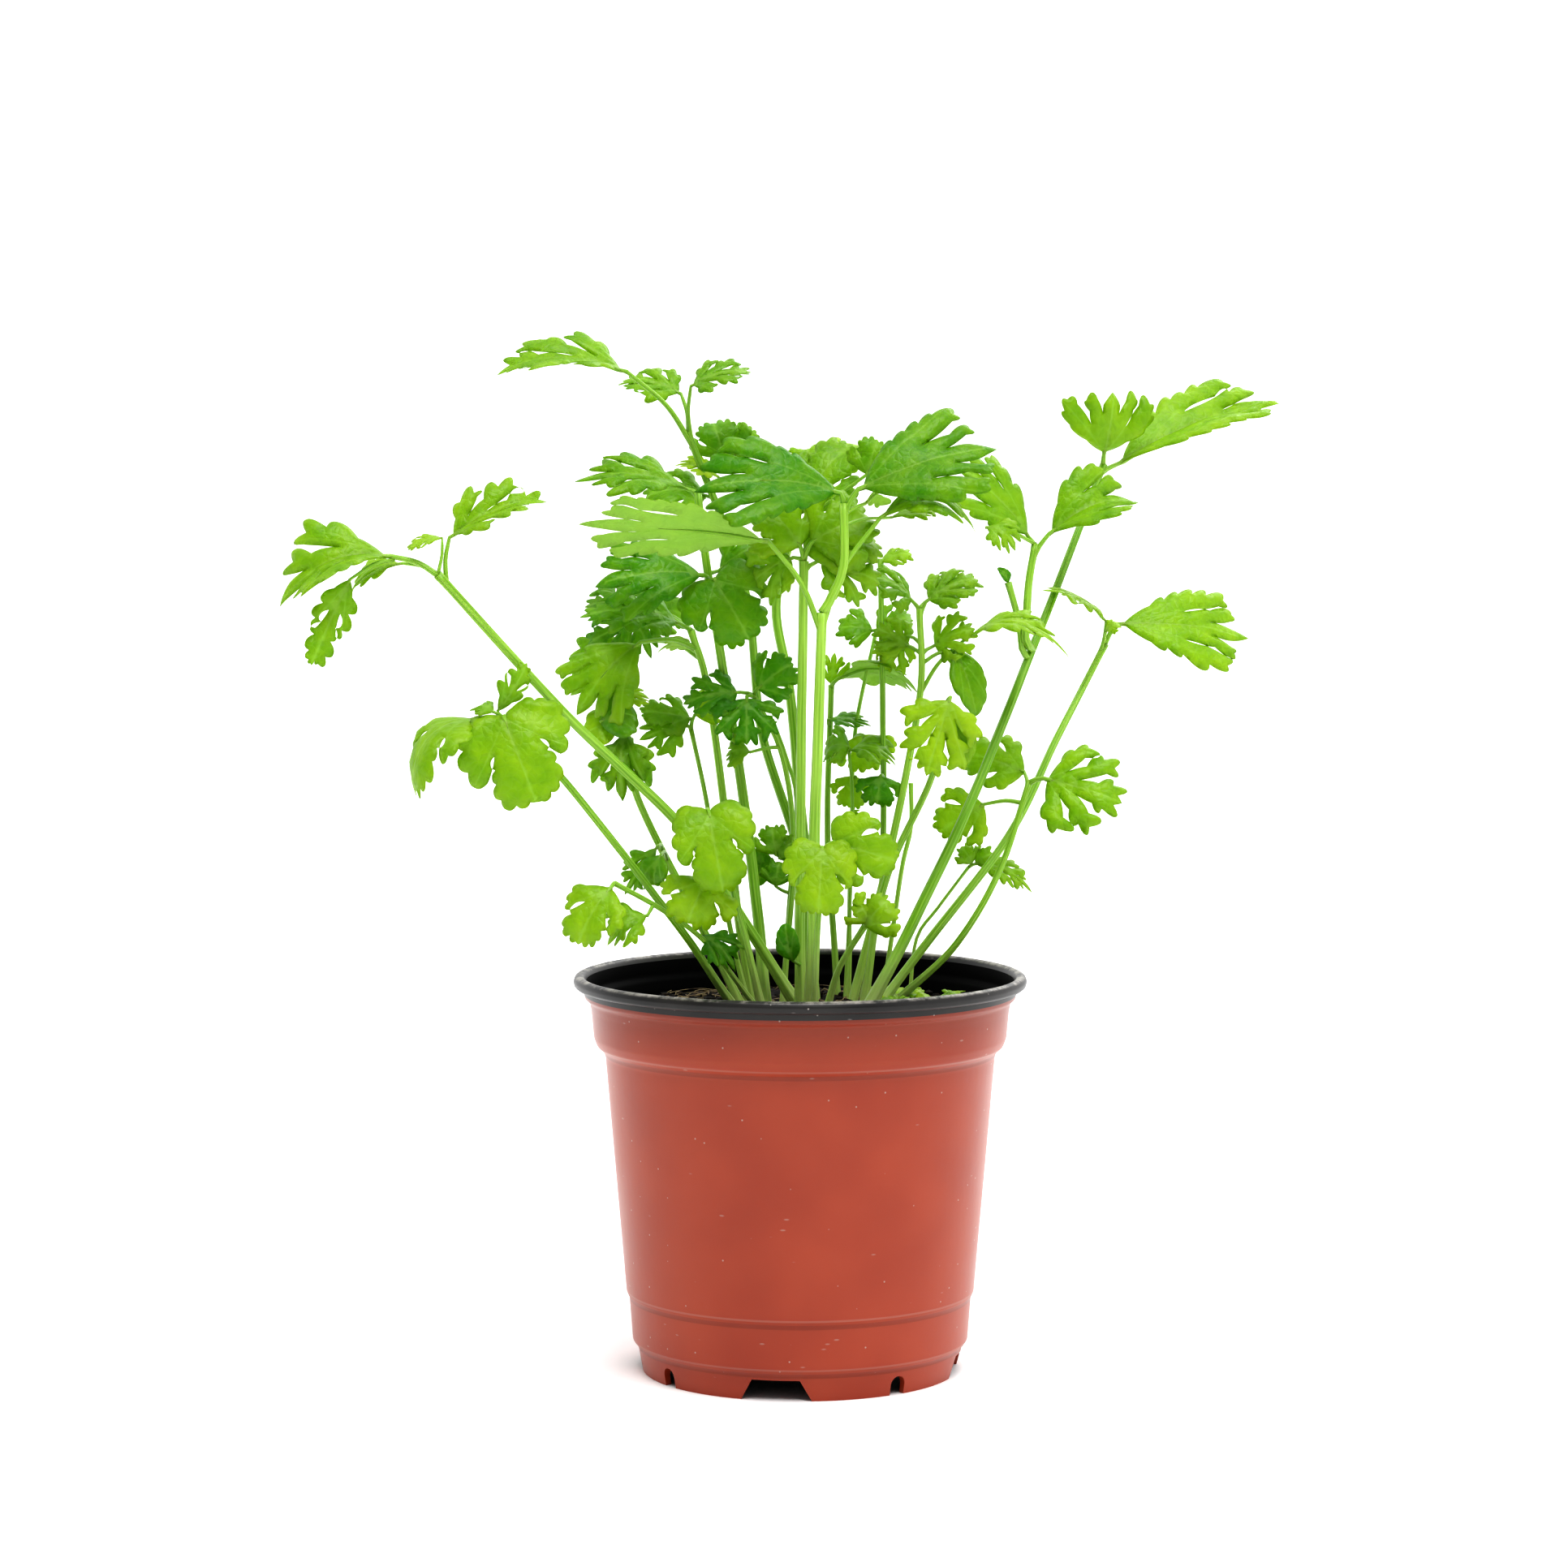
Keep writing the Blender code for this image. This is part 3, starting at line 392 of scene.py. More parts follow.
def blade_material():
    """Living leaf blade, grown, with a thin waxy skin: a soft broken sheen on top, matt and
    paler below, and light from behind comes through it yellow green."""
    mat, tree, out = start_material("leaf_blade_living_waxy")
    if not tree:
        return mat
    look = bpy.context.scene.herb_plant
    flat = node(tree, "ShaderNodeUVMap", uv_map="flat")
    age = node(tree, "ShaderNodeAttribute", attribute_name="age")
    vein = node(tree, "ShaderNodeAttribute", attribute_name="vein")
    under = node(tree, "ShaderNodeAttribute", attribute_name="under")
    # Patches of tone some 9 mm across.
    patches = node(tree, "ShaderNodeTexNoise", {"Vector": flat.outputs["UV"], "Scale": 0.11,
                                                "Detail": 3.0, "Roughness": 0.6})
    shift = node(tree, "ShaderNodeMapRange", {"Value": patches.outputs[0], "From Min": 0.3,
                                              "From Max": 0.7, "To Min": -0.2, "To Max": 0.2})
    young = node(tree, "ShaderNodeMath", {0: age.outputs["Fac"], 1: shift.outputs["Result"]},
                operation="ADD", use_clamp=True)
    top = node(tree, "ShaderNodeMix", {"Factor": young.outputs[0], 6: (*look.blade_mature, 1),
                                       7: (*look.blade_young, 1)}, data_type="RGBA")
    # The net of small veins, 2.4 mm between meshes.
    warp = node(tree, "ShaderNodeTexNoise", {"Vector": flat.outputs["UV"], "Scale": 0.5,
                                             "Detail": 1.0})
    moved = node(tree, "ShaderNodeVectorMath", {0: flat.outputs["UV"],
                                                1: warp.outputs["Color"]}, operation="ADD")
    net = node(tree, "ShaderNodeTexVoronoi", {"Vector": moved.outputs[0], "Scale": 0.42},
               feature="DISTANCE_TO_EDGE", voronoi_dimensions="2D")
    mesh_line = node(tree, "ShaderNodeMapRange", {"Value": net.outputs["Distance"],
                                                  "From Min": 0.0, "From Max": 0.13,
                                                  "To Min": 1.0, "To Max": 0.0},
                     interpolation_type="SMOOTHSTEP")
    main_line = node(tree, "ShaderNodeMapRange", {"Value": vein.outputs["Fac"], "From Min": 0.40,
                                                  "From Max": 1.05},
                     interpolation_type="SMOOTHSTEP")
    fine = node(tree, "ShaderNodeMath", {0: mesh_line.outputs["Result"], 1: 0.16},
                operation="MULTIPLY")
    lines = node(tree, "ShaderNodeMath", {0: main_line.outputs["Result"], 1: fine.outputs[0]},
                 operation="MAXIMUM", use_clamp=True)
    paler = node(tree, "ShaderNodeMath", {0: lines.outputs[0], 1: 0.38}, operation="MULTIPLY")
    veined = node(tree, "ShaderNodeMix", {"Factor": paler.outputs[0], 6: top.outputs[2],
                                          7: (*look.blade_vein, 1)}, data_type="RGBA")
    pale = node(tree, "ShaderNodeMix", {"Factor": 0.62, 6: veined.outputs[2],
                                        7: (*look.blade_under, 1)}, data_type="RGBA")
    colour = node(tree, "ShaderNodeMix", {"Factor": under.outputs["Fac"], 6: veined.outputs[2],
                                          7: pale.outputs[2]}, data_type="RGBA")
    sheen = node(tree, "ShaderNodeMapRange", {"Value": under.outputs["Fac"], "To Min": 0.38,
                                              "To Max": 0.62})
    # Relief: small veins pressed in by a tenth of a millimetre, and cells of 0.5 mm.
    grain = node(tree, "ShaderNodeTexNoise", {"Vector": flat.outputs["UV"], "Scale": 2.0,
                                              "Detail": 2.0})
    swell = node(tree, "ShaderNodeMath", {0: net.outputs["Distance"], 1: 1.6},
                 operation="MULTIPLY")
    quilt = node(tree, "ShaderNodeMath", {0: grain.outputs[0], 1: 0.25,
                                          2: swell.outputs[0]}, operation="MULTIPLY_ADD")
    height = node(tree, "ShaderNodeMath", {0: lines.outputs[0], 1: -0.6,
                                           2: quilt.outputs[0]}, operation="MULTIPLY_ADD")
    relief = node(tree, "ShaderNodeBump", {"Height": height.outputs[0], "Strength": 0.35,
                                           "Distance": 0.0004})
    skin = node(tree, "ShaderNodeBsdfPrincipled", {
        "Base Color": colour.outputs[2], "Roughness": sheen.outputs["Result"], "IOR": 1.42,
        "Specular IOR Level": 0.6, "Normal": relief.outputs["Normal"]})
    glow = node(tree, "ShaderNodeMix", {"Factor": 0.6, 6: colour.outputs[2],
                                        7: (*paint("#C8F000"), 1)}, data_type="RGBA")
    through = node(tree, "ShaderNodeBsdfTranslucent", {"Color": glow.outputs[2],
                                                       "Normal": relief.outputs["Normal"]})
    both = node(tree, "ShaderNodeMixShader", {0: 0.40, 1: skin.outputs[0],
                                              2: through.outputs[0]})
    tree.links.new(both.outputs[0], out.inputs["Surface"])
    return mat


def stalk_material():
    """Living leaf stalk, grown in ribs, juicy: long pale and green streaks, a soft gloss, and
    whitish where it sheathes at the foot."""
    mat, tree, out = start_material("leaf_stalk_living_ribbed")
    if not tree:
        return mat
    look = bpy.context.scene.herb_plant
    flat = node(tree, "ShaderNodeUVMap", uv_map="flat")
    age = node(tree, "ShaderNodeAttribute", attribute_name="age")
    foot = node(tree, "ShaderNodeAttribute", attribute_name="vein")
    # Streaks 0.7 mm wide and some 25 mm long.
    drawn = node(tree, "ShaderNodeVectorMath", {0: flat.outputs["UV"], 1: (1.4, 0.04, 1.0)},
                 operation="MULTIPLY")
    streak = node(tree, "ShaderNodeTexNoise", {"Vector": drawn.outputs[0], "Scale": 1.0,
                                               "Detail": 2.0})
    sway = node(tree, "ShaderNodeMapRange", {"Value": streak.outputs[0], "From Min": 0.3,
                                             "From Max": 0.7, "To Min": -0.45, "To Max": 0.45})
    share = node(tree, "ShaderNodeMath", {0: age.outputs["Fac"], 1: sway.outputs["Result"]},
                 operation="ADD", use_clamp=True)
    green = node(tree, "ShaderNodeMix", {"Factor": share.outputs[0], 6: (*look.stalk_green, 1),
                                         7: (*look.stalk_pale, 1)}, data_type="RGBA")
    colour = node(tree, "ShaderNodeMix", {"Factor": foot.outputs["Fac"], 6: green.outputs[2],
                                          7: (*look.stalk_foot, 1)}, data_type="RGBA")
    relief = node(tree, "ShaderNodeBump", {"Height": streak.outputs[0], "Strength": 0.6,
                                           "Distance": 0.0005})
    skin = node(tree, "ShaderNodeBsdfPrincipled", {
        "Base Color": colour.outputs[2], "Roughness": 0.33, "IOR": 1.42,
        "Subsurface Weight": 0.35, "Subsurface Radius": (0.5, 1.0, 0.15),
        "Subsurface Scale": 0.0012, "Normal": relief.outputs["Normal"]})
    tree.links.new(skin.outputs[0], out.inputs["Surface"])
    return mat


def in_some_cells(tree, cells, channel, share, mark):
    """A mark kept in only a share of the cells, picked by one channel of their colour."""
    drawn = node(tree, "ShaderNodeSeparateColor", {"Color": cells.outputs["Color"]})
    few = node(tree, "ShaderNodeMath", {0: drawn.outputs[channel], 1: 1.0 - share},
               operation="GREATER_THAN")
    return node(tree, "ShaderNodeMath", {0: mark.outputs["Result"], 1: few.outputs[0]},
                operation="MULTIPLY")


def plastic_material(name, base, worn, dust, gloss, dusty, shine=0.5, crest=1.0):
    """Polypropylene sheet, thermoformed: satin, evenly coloured through, with faint bloom,
    grains of lime dust and short pale scuffs. Painted shade darkens it towards the lip and
    in the grooves, and painted highlights lie above the grooves and along the lip's crest."""
    mat, tree, out = start_material(name)
    if not tree:
        return mat
    place = node(tree, "ShaderNodeTexCoord")
    point = place.outputs["Object"]
    # Bloom in patches of 25 mm.
    bloom = node(tree, "ShaderNodeTexNoise", {"Vector": point, "Scale": 40.0, "Detail": 1.5,
                                              "Roughness": 0.5})
    faded = node(tree, "ShaderNodeMapRange", {"Value": bloom.outputs[0], "From Min": 0.15,
                                              "From Max": 0.85}, interpolation_type="SMOOTHSTEP")
    sheet = node(tree, "ShaderNodeMix", {"Factor": faded.outputs["Result"], 6: (*base, 1),
                                         7: (*worn, 1)}, data_type="RGBA")
    # Painted shade and dirt, darker towards the lip.
    level = node(tree, "ShaderNodeSeparateXYZ", {0: point})
    lip_shade_ramp = node(tree, "ShaderNodeMapRange", {"Value": level.outputs["Z"], "From Min": 0.094,
                                               "From Max": 0.110, "To Max": 0.6})
    soil = lip_shade_ramp.outputs["Result"]
    # Painted shade in the grooves of the shell, in bands of 1.4 mm, and a painted highlight
    # on the edge above each.
    edges = None
    for groove in GROOVES:
        # A band 0.6 mm wide, 1.8 mm above the groove: painted highlight.
        over = node(tree, "ShaderNodeMath", {0: level.outputs["Z"], 1: groove + 0.0018,
                                             2: 0.0003}, operation="COMPARE")
        edges = over if not edges else node(
            tree, "ShaderNodeMath", {0: edges.outputs[0], 1: over.outputs[0]},
            operation="MAXIMUM")
        # The groove itself, a band 1.4 mm wide: painted shade.
        away = node(tree, "ShaderNodeMath", {0: level.outputs["Z"], 1: groove, 2: 0.0007},
                    operation="COMPARE")
        held = node(tree, "ShaderNodeMath", {0: away.outputs[0], 1: 0.4}, operation="MULTIPLY")
        most = node(tree, "ShaderNodeMath", {0: soil, 1: held.outputs[0]}, operation="MAXIMUM")
        soil = most.outputs[0]
    # Painted shade: the sheet turns to half its colour towards the lip and in the grooves.
    body = node(tree, "ShaderNodeMix", {"Factor": soil,
                                        6: sheet.outputs[2],
                                        7: (*[c * 0.5 for c in base], 1)}, data_type="RGBA")
    # Grains of dust: cells 2.6 mm apart, a few of them holding a grain 0.5 mm across.
    cells = node(tree, "ShaderNodeTexVoronoi", {"Vector": point, "Scale": 380.0})
    grain = node(tree, "ShaderNodeMapRange", {"Value": cells.outputs["Distance"],
                                              "From Min": 0.06, "From Max": 0.12, "To Min": 1.0,
                                              "To Max": 0.0})
    specks = in_some_cells(tree, cells, 0, 0.22 * dusty, grain)
    # Short scuffs, 1.4 mm long and 0.5 mm wide, lying round the pot.
    laid = node(tree, "ShaderNodeVectorMath", {0: point, 1: (230.0, 230.0, 700.0)},
                operation="MULTIPLY")
    rubbed = node(tree, "ShaderNodeTexVoronoi", {"Vector": laid.outputs[0], "Scale": 1.0})
    stroke = node(tree, "ShaderNodeMapRange", {"Value": rubbed.outputs["Distance"],
                                               "From Min": 0.10, "From Max": 0.22,
                                               "To Min": 0.5, "To Max": 0.0})
    scuff = in_some_cells(tree, rubbed, 1, 0.05 * dusty, stroke)
    rubs = node(tree, "ShaderNodeMath", {0: specks.outputs[0], 1: scuff.outputs[0]},
                operation="MAXIMUM")
    # Lime and a painted highlight along the top of the lip, in runs of 10 mm.
    high = node(tree, "ShaderNodeMapRange", {"Value": level.outputs["Z"], "From Min": crest,
                                             "From Max": crest + 0.0006, "To Max": 2.2})
    runs = node(tree, "ShaderNodeTexNoise", {"Vector": point, "Scale": 110.0, "Detail": 5.0,
                                             "Roughness": 0.75})
    lime = node(tree, "ShaderNodeMapRange", {"Value": runs.outputs[0], "From Min": 0.42,
                                             "From Max": 0.75})
    crest_lime_and_highlight = node(tree, "ShaderNodeMath", {0: high.outputs["Result"], 1: lime.outputs["Result"]},
                  operation="MULTIPLY", use_clamp=True)
    dust_and_crest_highlight = node(tree, "ShaderNodeMath", {0: rubs.outputs[0], 1: crest_lime_and_highlight.outputs[0]},
                 operation="MAXIMUM")
    # Painted highlight along the groove edges.
    edge_highlight = node(tree, "ShaderNodeMath", {0: edges.outputs[0], 1: 0.22}, operation="MULTIPLY")
    all_dust_and_highlights = node(tree, "ShaderNodeMath", {0: dust_and_crest_highlight.outputs[0], 1: edge_highlight.outputs[0]},
                 operation="MAXIMUM")
    eased = node(tree, "ShaderNodeMath", {0: all_dust_and_highlights.outputs[0], 1: 0.6}, operation="MULTIPLY")
    # The dust colour also paints the highlights on the groove edges and along the lip's crest.
    colour = node(tree, "ShaderNodeMix", {"Factor": eased.outputs[0], 6: body.outputs[2],
                                          7: (*dust, 1)}, data_type="RGBA")
    rough = node(tree, "ShaderNodeMapRange", {"Value": bloom.outputs[0], "From Min": 0.1,
                                              "From Max": 0.9, "To Min": gloss - 0.05,
                                              "To Max": gloss + 0.08})
    # Orange peel of the formed sheet: waves 3 mm long.
    peel = node(tree, "ShaderNodeTexNoise", {"Vector": point, "Scale": 330.0, "Detail": 2.0})
    relief = node(tree, "ShaderNodeBump", {"Height": peel.outputs[0], "Strength": 0.12,
                                           "Distance": 0.0002})
    skin = node(tree, "ShaderNodeBsdfPrincipled", {
        "Base Color": colour.outputs[2], "Roughness": rough.outputs["Result"], "IOR": 1.49,
        "Specular IOR Level": shine, "Normal": relief.outputs["Normal"]})
    tree.links.new(skin.outputs[0], out.inputs["Surface"])
    return mat


def shell_material():
    """Polypropylene, coloured through and thermoformed, outside: orange brown and satin."""
    look = bpy.context.scene.herb_pot
    return plastic_material("polypropylene_terracotta_thermoformed", tuple(look.shell),
                            tuple(look.shell_worn), tuple(look.lime_dust_and_highlight), 0.30, 0.7)


def lip_material():
    """Black polypropylene, rolled over: worn grey, lime and a painted highlight on the crest."""
    look = bpy.context.scene.herb_pot
    return plastic_material("polypropylene_black_rolled", tuple(look.lining),
                            paint("#4C4946"), tuple(look.lime_dust_and_highlight), 0.34, 1.0, 0.5, 0.1134)


def shaded_lining_material():
    """Polypropylene, black and thermoformed, inside: painted darker than the lip's black, as
    painted shade, and almost without gloss.
    """
    look = bpy.context.scene.herb_pot
    return plastic_material("polypropylene_black_painted_shade", paint("#030303"),
                            paint("#050505"), tuple(look.lime_dust_and_highlight), 0.6, 0.25, 0.08)


def compost_material():
    """Peat compost, screened and watered: nearly black, dull, with damp glints and brown
    crumbs."""
    mat, tree, out = start_material("peat_compost_screened")
    if not tree:
        return mat
    look = bpy.context.scene.herb_compost
    point = node(tree, "ShaderNodeTexCoord").outputs["Object"]
    # Crumbs of 1.5 mm.
    crumb = node(tree, "ShaderNodeTexVoronoi", {"Vector": point, "Scale": 650.0})
    tint = node(tree, "ShaderNodeSeparateColor", {"Color": crumb.outputs["Color"]})
    brown = node(tree, "ShaderNodeMapRange", {"Value": tint.outputs[0], "From Min": 0.72,
                                              "From Max": 1.0, "To Max": 0.55})
    colour = node(tree, "ShaderNodeMix", {"Factor": brown.outputs["Result"],
                                          6: (*look.peat, 1), 7: (*paint("#4A3626"), 1)},
                  data_type="RGBA")
    grain = node(tree, "ShaderNodeTexNoise", {"Vector": point, "Scale": 1500.0, "Detail": 4.0})
    relief = node(tree, "ShaderNodeBump", {"Height": grain.outputs[0], "Strength": 0.8,
                                           "Distance": 0.0004})
    skin = node(tree, "ShaderNodeBsdfPrincipled", {
        "Base Color": colour.outputs[2], "Roughness": 0.85, "Specular IOR Level": 0.2,
        "Normal": relief.outputs["Normal"]})
    tree.links.new(skin.outputs[0], out.inputs["Surface"])
    return mat


def fibre_material():
    """Root and bark fibre, dried: straw to brown, matt, streaked along its length."""
    mat, tree, out = start_material("root_fibre_dried")
    if not tree:
        return mat
    look = bpy.context.scene.herb_compost
    point = node(tree, "ShaderNodeTexCoord").outputs["Object"]
    # Tone changes every 4 mm.
    tone_map = node(tree, "ShaderNodeTexNoise", {"Vector": point, "Scale": 250.0, "Detail": 3.0})
    share = node(tree, "ShaderNodeMapRange", {"Value": tone_map.outputs[0],
                                              "From Min": 0.35, "From Max": 0.65})
    colour = node(tree, "ShaderNodeMix", {"Factor": share.outputs["Result"],
                                          6: (*look.fibre, 1), 7: (*paint("#3B2A1B"), 1)},
                  data_type="RGBA")
    skin = node(tree, "ShaderNodeBsdfPrincipled", {"Base Color": colour.outputs[2],
                                                   "Roughness": 0.7})
    tree.links.new(skin.outputs[0], out.inputs["Surface"])
    return mat


def stand(name, data):
    """A new object in the scene with the given mesh, light or camera."""
    obj = bpy.data.objects.new(name, data)
    bpy.context.scene.collection.objects.link(obj)
    return obj


class Piece:
    """Corners, faces and values of one piece, gathered in millimetres."""

    def __init__(self):
        self.points, self.faces, self.slots = [], [], []
        self.flat, self.vein, self.under, self.age = [], [], [], []

    def add(self, points, faces, flat, vein=0.0, under=0.0, age=0.5, slot=0):
        """Adds a part. Each value is one number for the whole part or one for each corner."""
        start, count = len(self.points), len(points)
        self.points += [tuple(p) for p in points]
        self.faces += [tuple(start + i for i in face) for face in faces]
        self.slots += [slot] * len(faces)
        self.flat += [tuple(p) for p in flat]
        for values, given in ((self.vein, vein), (self.under, under), (self.age, age)):
            values += [given] * count if isinstance(given, (int, float)) else list(given)

    def make(self, name, materials, smooth=True):
        mesh = bpy.data.meshes.new(name)
        mesh.from_pydata([(x * MM, y * MM, z * MM) for x, y, z in self.points], [], self.faces)
        for key, values in (("vein", self.vein), ("under", self.under), ("age", self.age)):
            mesh.attributes.new(key, "FLOAT", "POINT").data.foreach_set("value", values)
        corners = np.zeros(len(mesh.loops), int)
        mesh.loops.foreach_get("vertex_index", corners)
        flat = np.array(self.flat, float).reshape(-1, 2)[corners]
        mesh.uv_layers.new(name="flat").data.foreach_set("uv", flat.ravel())
        for mat in materials:
            mesh.materials.append(mat)
        mesh.polygons.foreach_set("material_index", self.slots)
        if smooth:
            mesh.shade_smooth()
        mesh.update()
        return stand(name, mesh)


def settle(obj, slot, *nodes):
    """Puts a finished piece on the frame in place of its CAD nodes."""
    points = [v.co for v in obj.data.vertices]
    for name in nodes:
        low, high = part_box(name)
        own = [(min(p[k] for p in points) + max(p[k] for p in points)) / 2 for k in range(3)]
        stray = (Vector(own) - (low + high) / 2).length
        if stray > STRAY:
            raise RuntimeError("%s stands %.0f mm away from %s" % (obj.name, stray / MM, name))
        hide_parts(name)
    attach(obj, BODY)
    return obj


def smooth_way(points, step):
    """Points along a smooth curve through the given ones, about one step apart."""
    points = [Vector(p) for p in points]
    last = len(points) - 1
    tangents = [(points[min(i + 1, last)] - points[max(i - 1, 0)]) / (2 if 0 < i < last else 1)
                for i in range(last + 1)]
    way = [points[0]]
    for i in range(last):
        a, b = points[i], points[i + 1]
        count = max(1, round((b - a).length / step))
        for k in range(1, count + 1):
            t = k / count
            way.append(a * (2 * t**3 - 3 * t**2 + 1) + tangents[i] * (t**3 - 2 * t**2 + t)
                       + b * (-2 * t**3 + 3 * t**2) + tangents[i + 1] * (t**3 - t**2))
    return way


def compost_height(radius):
    """Height of the compost at a distance from the pot's axis, lumps apart."""
    for (r0, z0), (r1, z1) in zip(COMPOST_TOP, COMPOST_TOP[1:]):
        if radius <= r1:
            return z0 + (z1 - z0) * (radius - r0) / (r1 - r0)
    return COMPOST_TOP[-1][1]


def tube(piece, way, radii, sides, ribs=0.0, age=0.5, pale=0.0, slot=0):
    """A closed tube along a way, with six long ribs."""
    way = [Vector(p) for p in way]
    count = len(way)
    heading = (way[1] - way[0]).normalized()
    side = heading.orthogonal().normalized()
    points, flat, vein, run = [], [], [], 0.0
    for i, centre in enumerate(way):
        ahead = (way[min(i + 1, count - 1)] - way[max(i - 1, 0)]).normalized()
        side = (side - ahead * side.dot(ahead)).normalized()
        other = ahead.cross(side)
        if i:
            run += (centre - way[i - 1]).length
        for k in range(sides):
            angle = 2 * pi * k / sides
            reach = radii[i] * (1 + ribs * cos(6 * angle))
            points.append(centre + (side * cos(angle) + other * sin(angle)) * reach)
            flat.append((6.0 * abs(2 * k / sides - 1), run))
            vein.append(pale if isinstance(pale, (int, float)) else pale[i])
    faces = [(i * sides + k, i * sides + (k + 1) % sides, (i + 1) * sides + (k + 1) % sides,
              (i + 1) * sides + k) for i in range(count - 1) for k in range(sides)]
    faces.append(tuple(reversed(range(sides))))
    faces.append(tuple((count - 1) * sides + k for k in range(sides)))
    piece.add(points, faces, flat, vein=vein, age=age, slot=slot)


def stalk_way(name):
    """Centre line of a stalk every 3 mm, from inside the compost or the stalk that bears it."""
    _, _, points = {**STALKS, **THIN_STALKS}[name]
    way = smooth_way(points, 3.0)
    if name in BRANCHES:
        bearer = stalk_way(BRANCHES[name])
        root = min(bearer, key=lambda p: (p - way[0]).length)
        bow = (root + way[0]) / 2 + (way[0] - way[1]) * 0.2
        return smooth_way([root, bow, way[0]], 3.0)[:-1] + way
    down = (way[0] - way[1]).normalized()
    return [way[0] + down * 7, way[0] + down * 3.5] + way


def stalk_piece(name, row):
    """A leaf stalk: ribbed, thick and whitish where it leaves the compost, swollen at its tip."""
    foot_radius, tip_radius, _ = row
    rng = random.Random(name)
    way = stalk_way(name)
    turn = Vector((rng.uniform(0, 9), rng.uniform(0, 9), rng.uniform(0, 9)))
    radii, pale, bent, run = [], [], [], 0.0
    total = sum((b - a).length for a, b in zip(way, way[1:]))
    grounded = name not in BRANCHES
    for i, point in enumerate(way):
        if i:
            run += (point - way[i - 1]).length
        share = run / total
        radius = foot_radius + (tip_radius - foot_radius) * share
        if grounded:
            radius *= 0.86 + 0.30 * exp(-((run / 11) ** 2))
        radius *= 1 + 0.14 * exp(-(((total - run) / 2.5) ** 2))
        sway = noise.noise_vector(point * 0.045 + turn) * min(0.5, 0.02 * run) * (1 - share)
        radii.append(radius)
        pale.append(0.85 * max(0.0, 1 - run / 30) ** 1.3 if grounded else 0.0)
        bent.append(point + sway)
    piece = Piece()
    tube(piece, bent, radii, 24, ribs=0.08, age=STALK_AGE.get(name, MIDDLE_AGE), pale=pale)
    return piece


def margin(kind, length, width, rng):
    """The blade's margin in its own plane, from base up the right side, over the tip and down
    the left. Also the tip of each tooth with its lobe, and the cut above each lobe."""
    halves, teeth, cuts = [], [], []
    broad, out, ahead, blunt = TEETH[kind]
    for side in (1, -1):
        way, start, lobe = [(0.45 * side, 0.0)], Vector((0.45, 0.0)), 0
        for x, y, count in OUTLINES[kind]:
            end = Vector((x * width * (1 + rng.uniform(-0.08, 0.08)),
                          y * length * (1 + (rng.uniform(-0.035, 0.035) if x else 0.0))))
            span = end - start
            pieces = max(1, round(span.length / broad)) if count > 0 else 1
            for k in range(pieces):
                a, step = start + span * k / pieces, span / pieces
                reach = Vector((step.y, -step.x)) * 0.05
                if count > 0:
                    size = rng.uniform(0.75, 1.25)
                    reach = Vector((step.y * out * size, -step.x * out * size
                                    + step.length * ahead * size))
                steps = max(6, int(step.length / 0.5)) if count > 0 else max(2, int(
                    step.length))
                for i in range(1, steps + 1):
                    t = i / steps
                    p = a + step * t + reach * (1 - abs(2 * t - 1) ** blunt)
                    way.append((p.x * side, p.y))
                if count > 0 and x:
                    tip = a + step * 0.5 + reach
                    teeth.append((Vector((tip.x * side, tip.y)), lobe, side))
            if count == -1:
                cuts.append((Vector((end.x * side, end.y)), lobe, side))
                lobe += 1
            start = end
        halves.append(way)
    right, left = halves
    return right + left[-2::-1], teeth, cuts


def veins(length, teeth, cuts):
    """Vein lines with their strength: the midrib, one to each lobe and one to each tooth."""
    lines = [([Vector((0, 0)), Vector((0, length * 0.97))], 1.0)]
    for side in (1, -1):
        own = [c for c in cuts if c[2] == side]
        final = max([lobe for _, lobe, s in teeth if s == side], default=0)
        for lobe in range(final + 1):
            tips = [t for t, l, s in teeth if s == side and l == lobe]
            if not tips:
                continue
            if lobe < final or not own:
                below = [c for c, l, s in own if l == lobe - 1]
                origin = Vector((0, below[0].y * 0.6 if below else 0.03 * length))
                main = max(tips, key=lambda t: (t - origin).length)
                curve = origin.lerp(main, 0.5) + Vector((0, 0.07 * (main - origin).length))
                line = [(origin.lerp(curve, t)).lerp(curve.lerp(main, t), t)
                        for t in (0, 0.2, 0.4, 0.6, 0.8, 0.95)]
                lines.append((line, 0.8))
                spine = line
            else:
                main, spine = None, [Vector((0, length * k / 8)) for k in range(1, 8)]
            for tip in tips:
                if tip is main:
                    continue
                joint = min(spine[:-1], key=lambda p: abs((tip - p).length - 0.9 * abs(
                    (tip - spine[0]).length - 0.25 * length)) if main else abs(
                    p.y - (tip.y - 0.9 * abs(tip.x) - 0.05 * length)))
                lines.append(([joint, joint.lerp(tip, 0.5) + Vector((0, 0.03 * length)),
                               joint.lerp(tip, 0.92)], 0.5))
    return lines


def inside(points, loop):
    """Which points lie inside a closed loop."""
    held = np.zeros(len(points), bool)
    x, y = points[:, 0], points[:, 1]
    for (x0, y0), (x1, y1) in zip(loop, np.roll(loop, -1, axis=0)):
        if y0 != y1:
            across = ((y0 > y) != (y1 > y)) & (x < (x1 - x0) * (y - y0) / (y1 - y0) + x0)
            held ^= across
    return held


def distance(points, a, b):
    """Distance of each point from the line from a to b."""
    span = b - a
    t = np.clip(((points - a) @ span) / max(span @ span, 1e-9), 0, 1)
    return np.linalg.norm(points - (a + t[:, None] * span), axis=1)


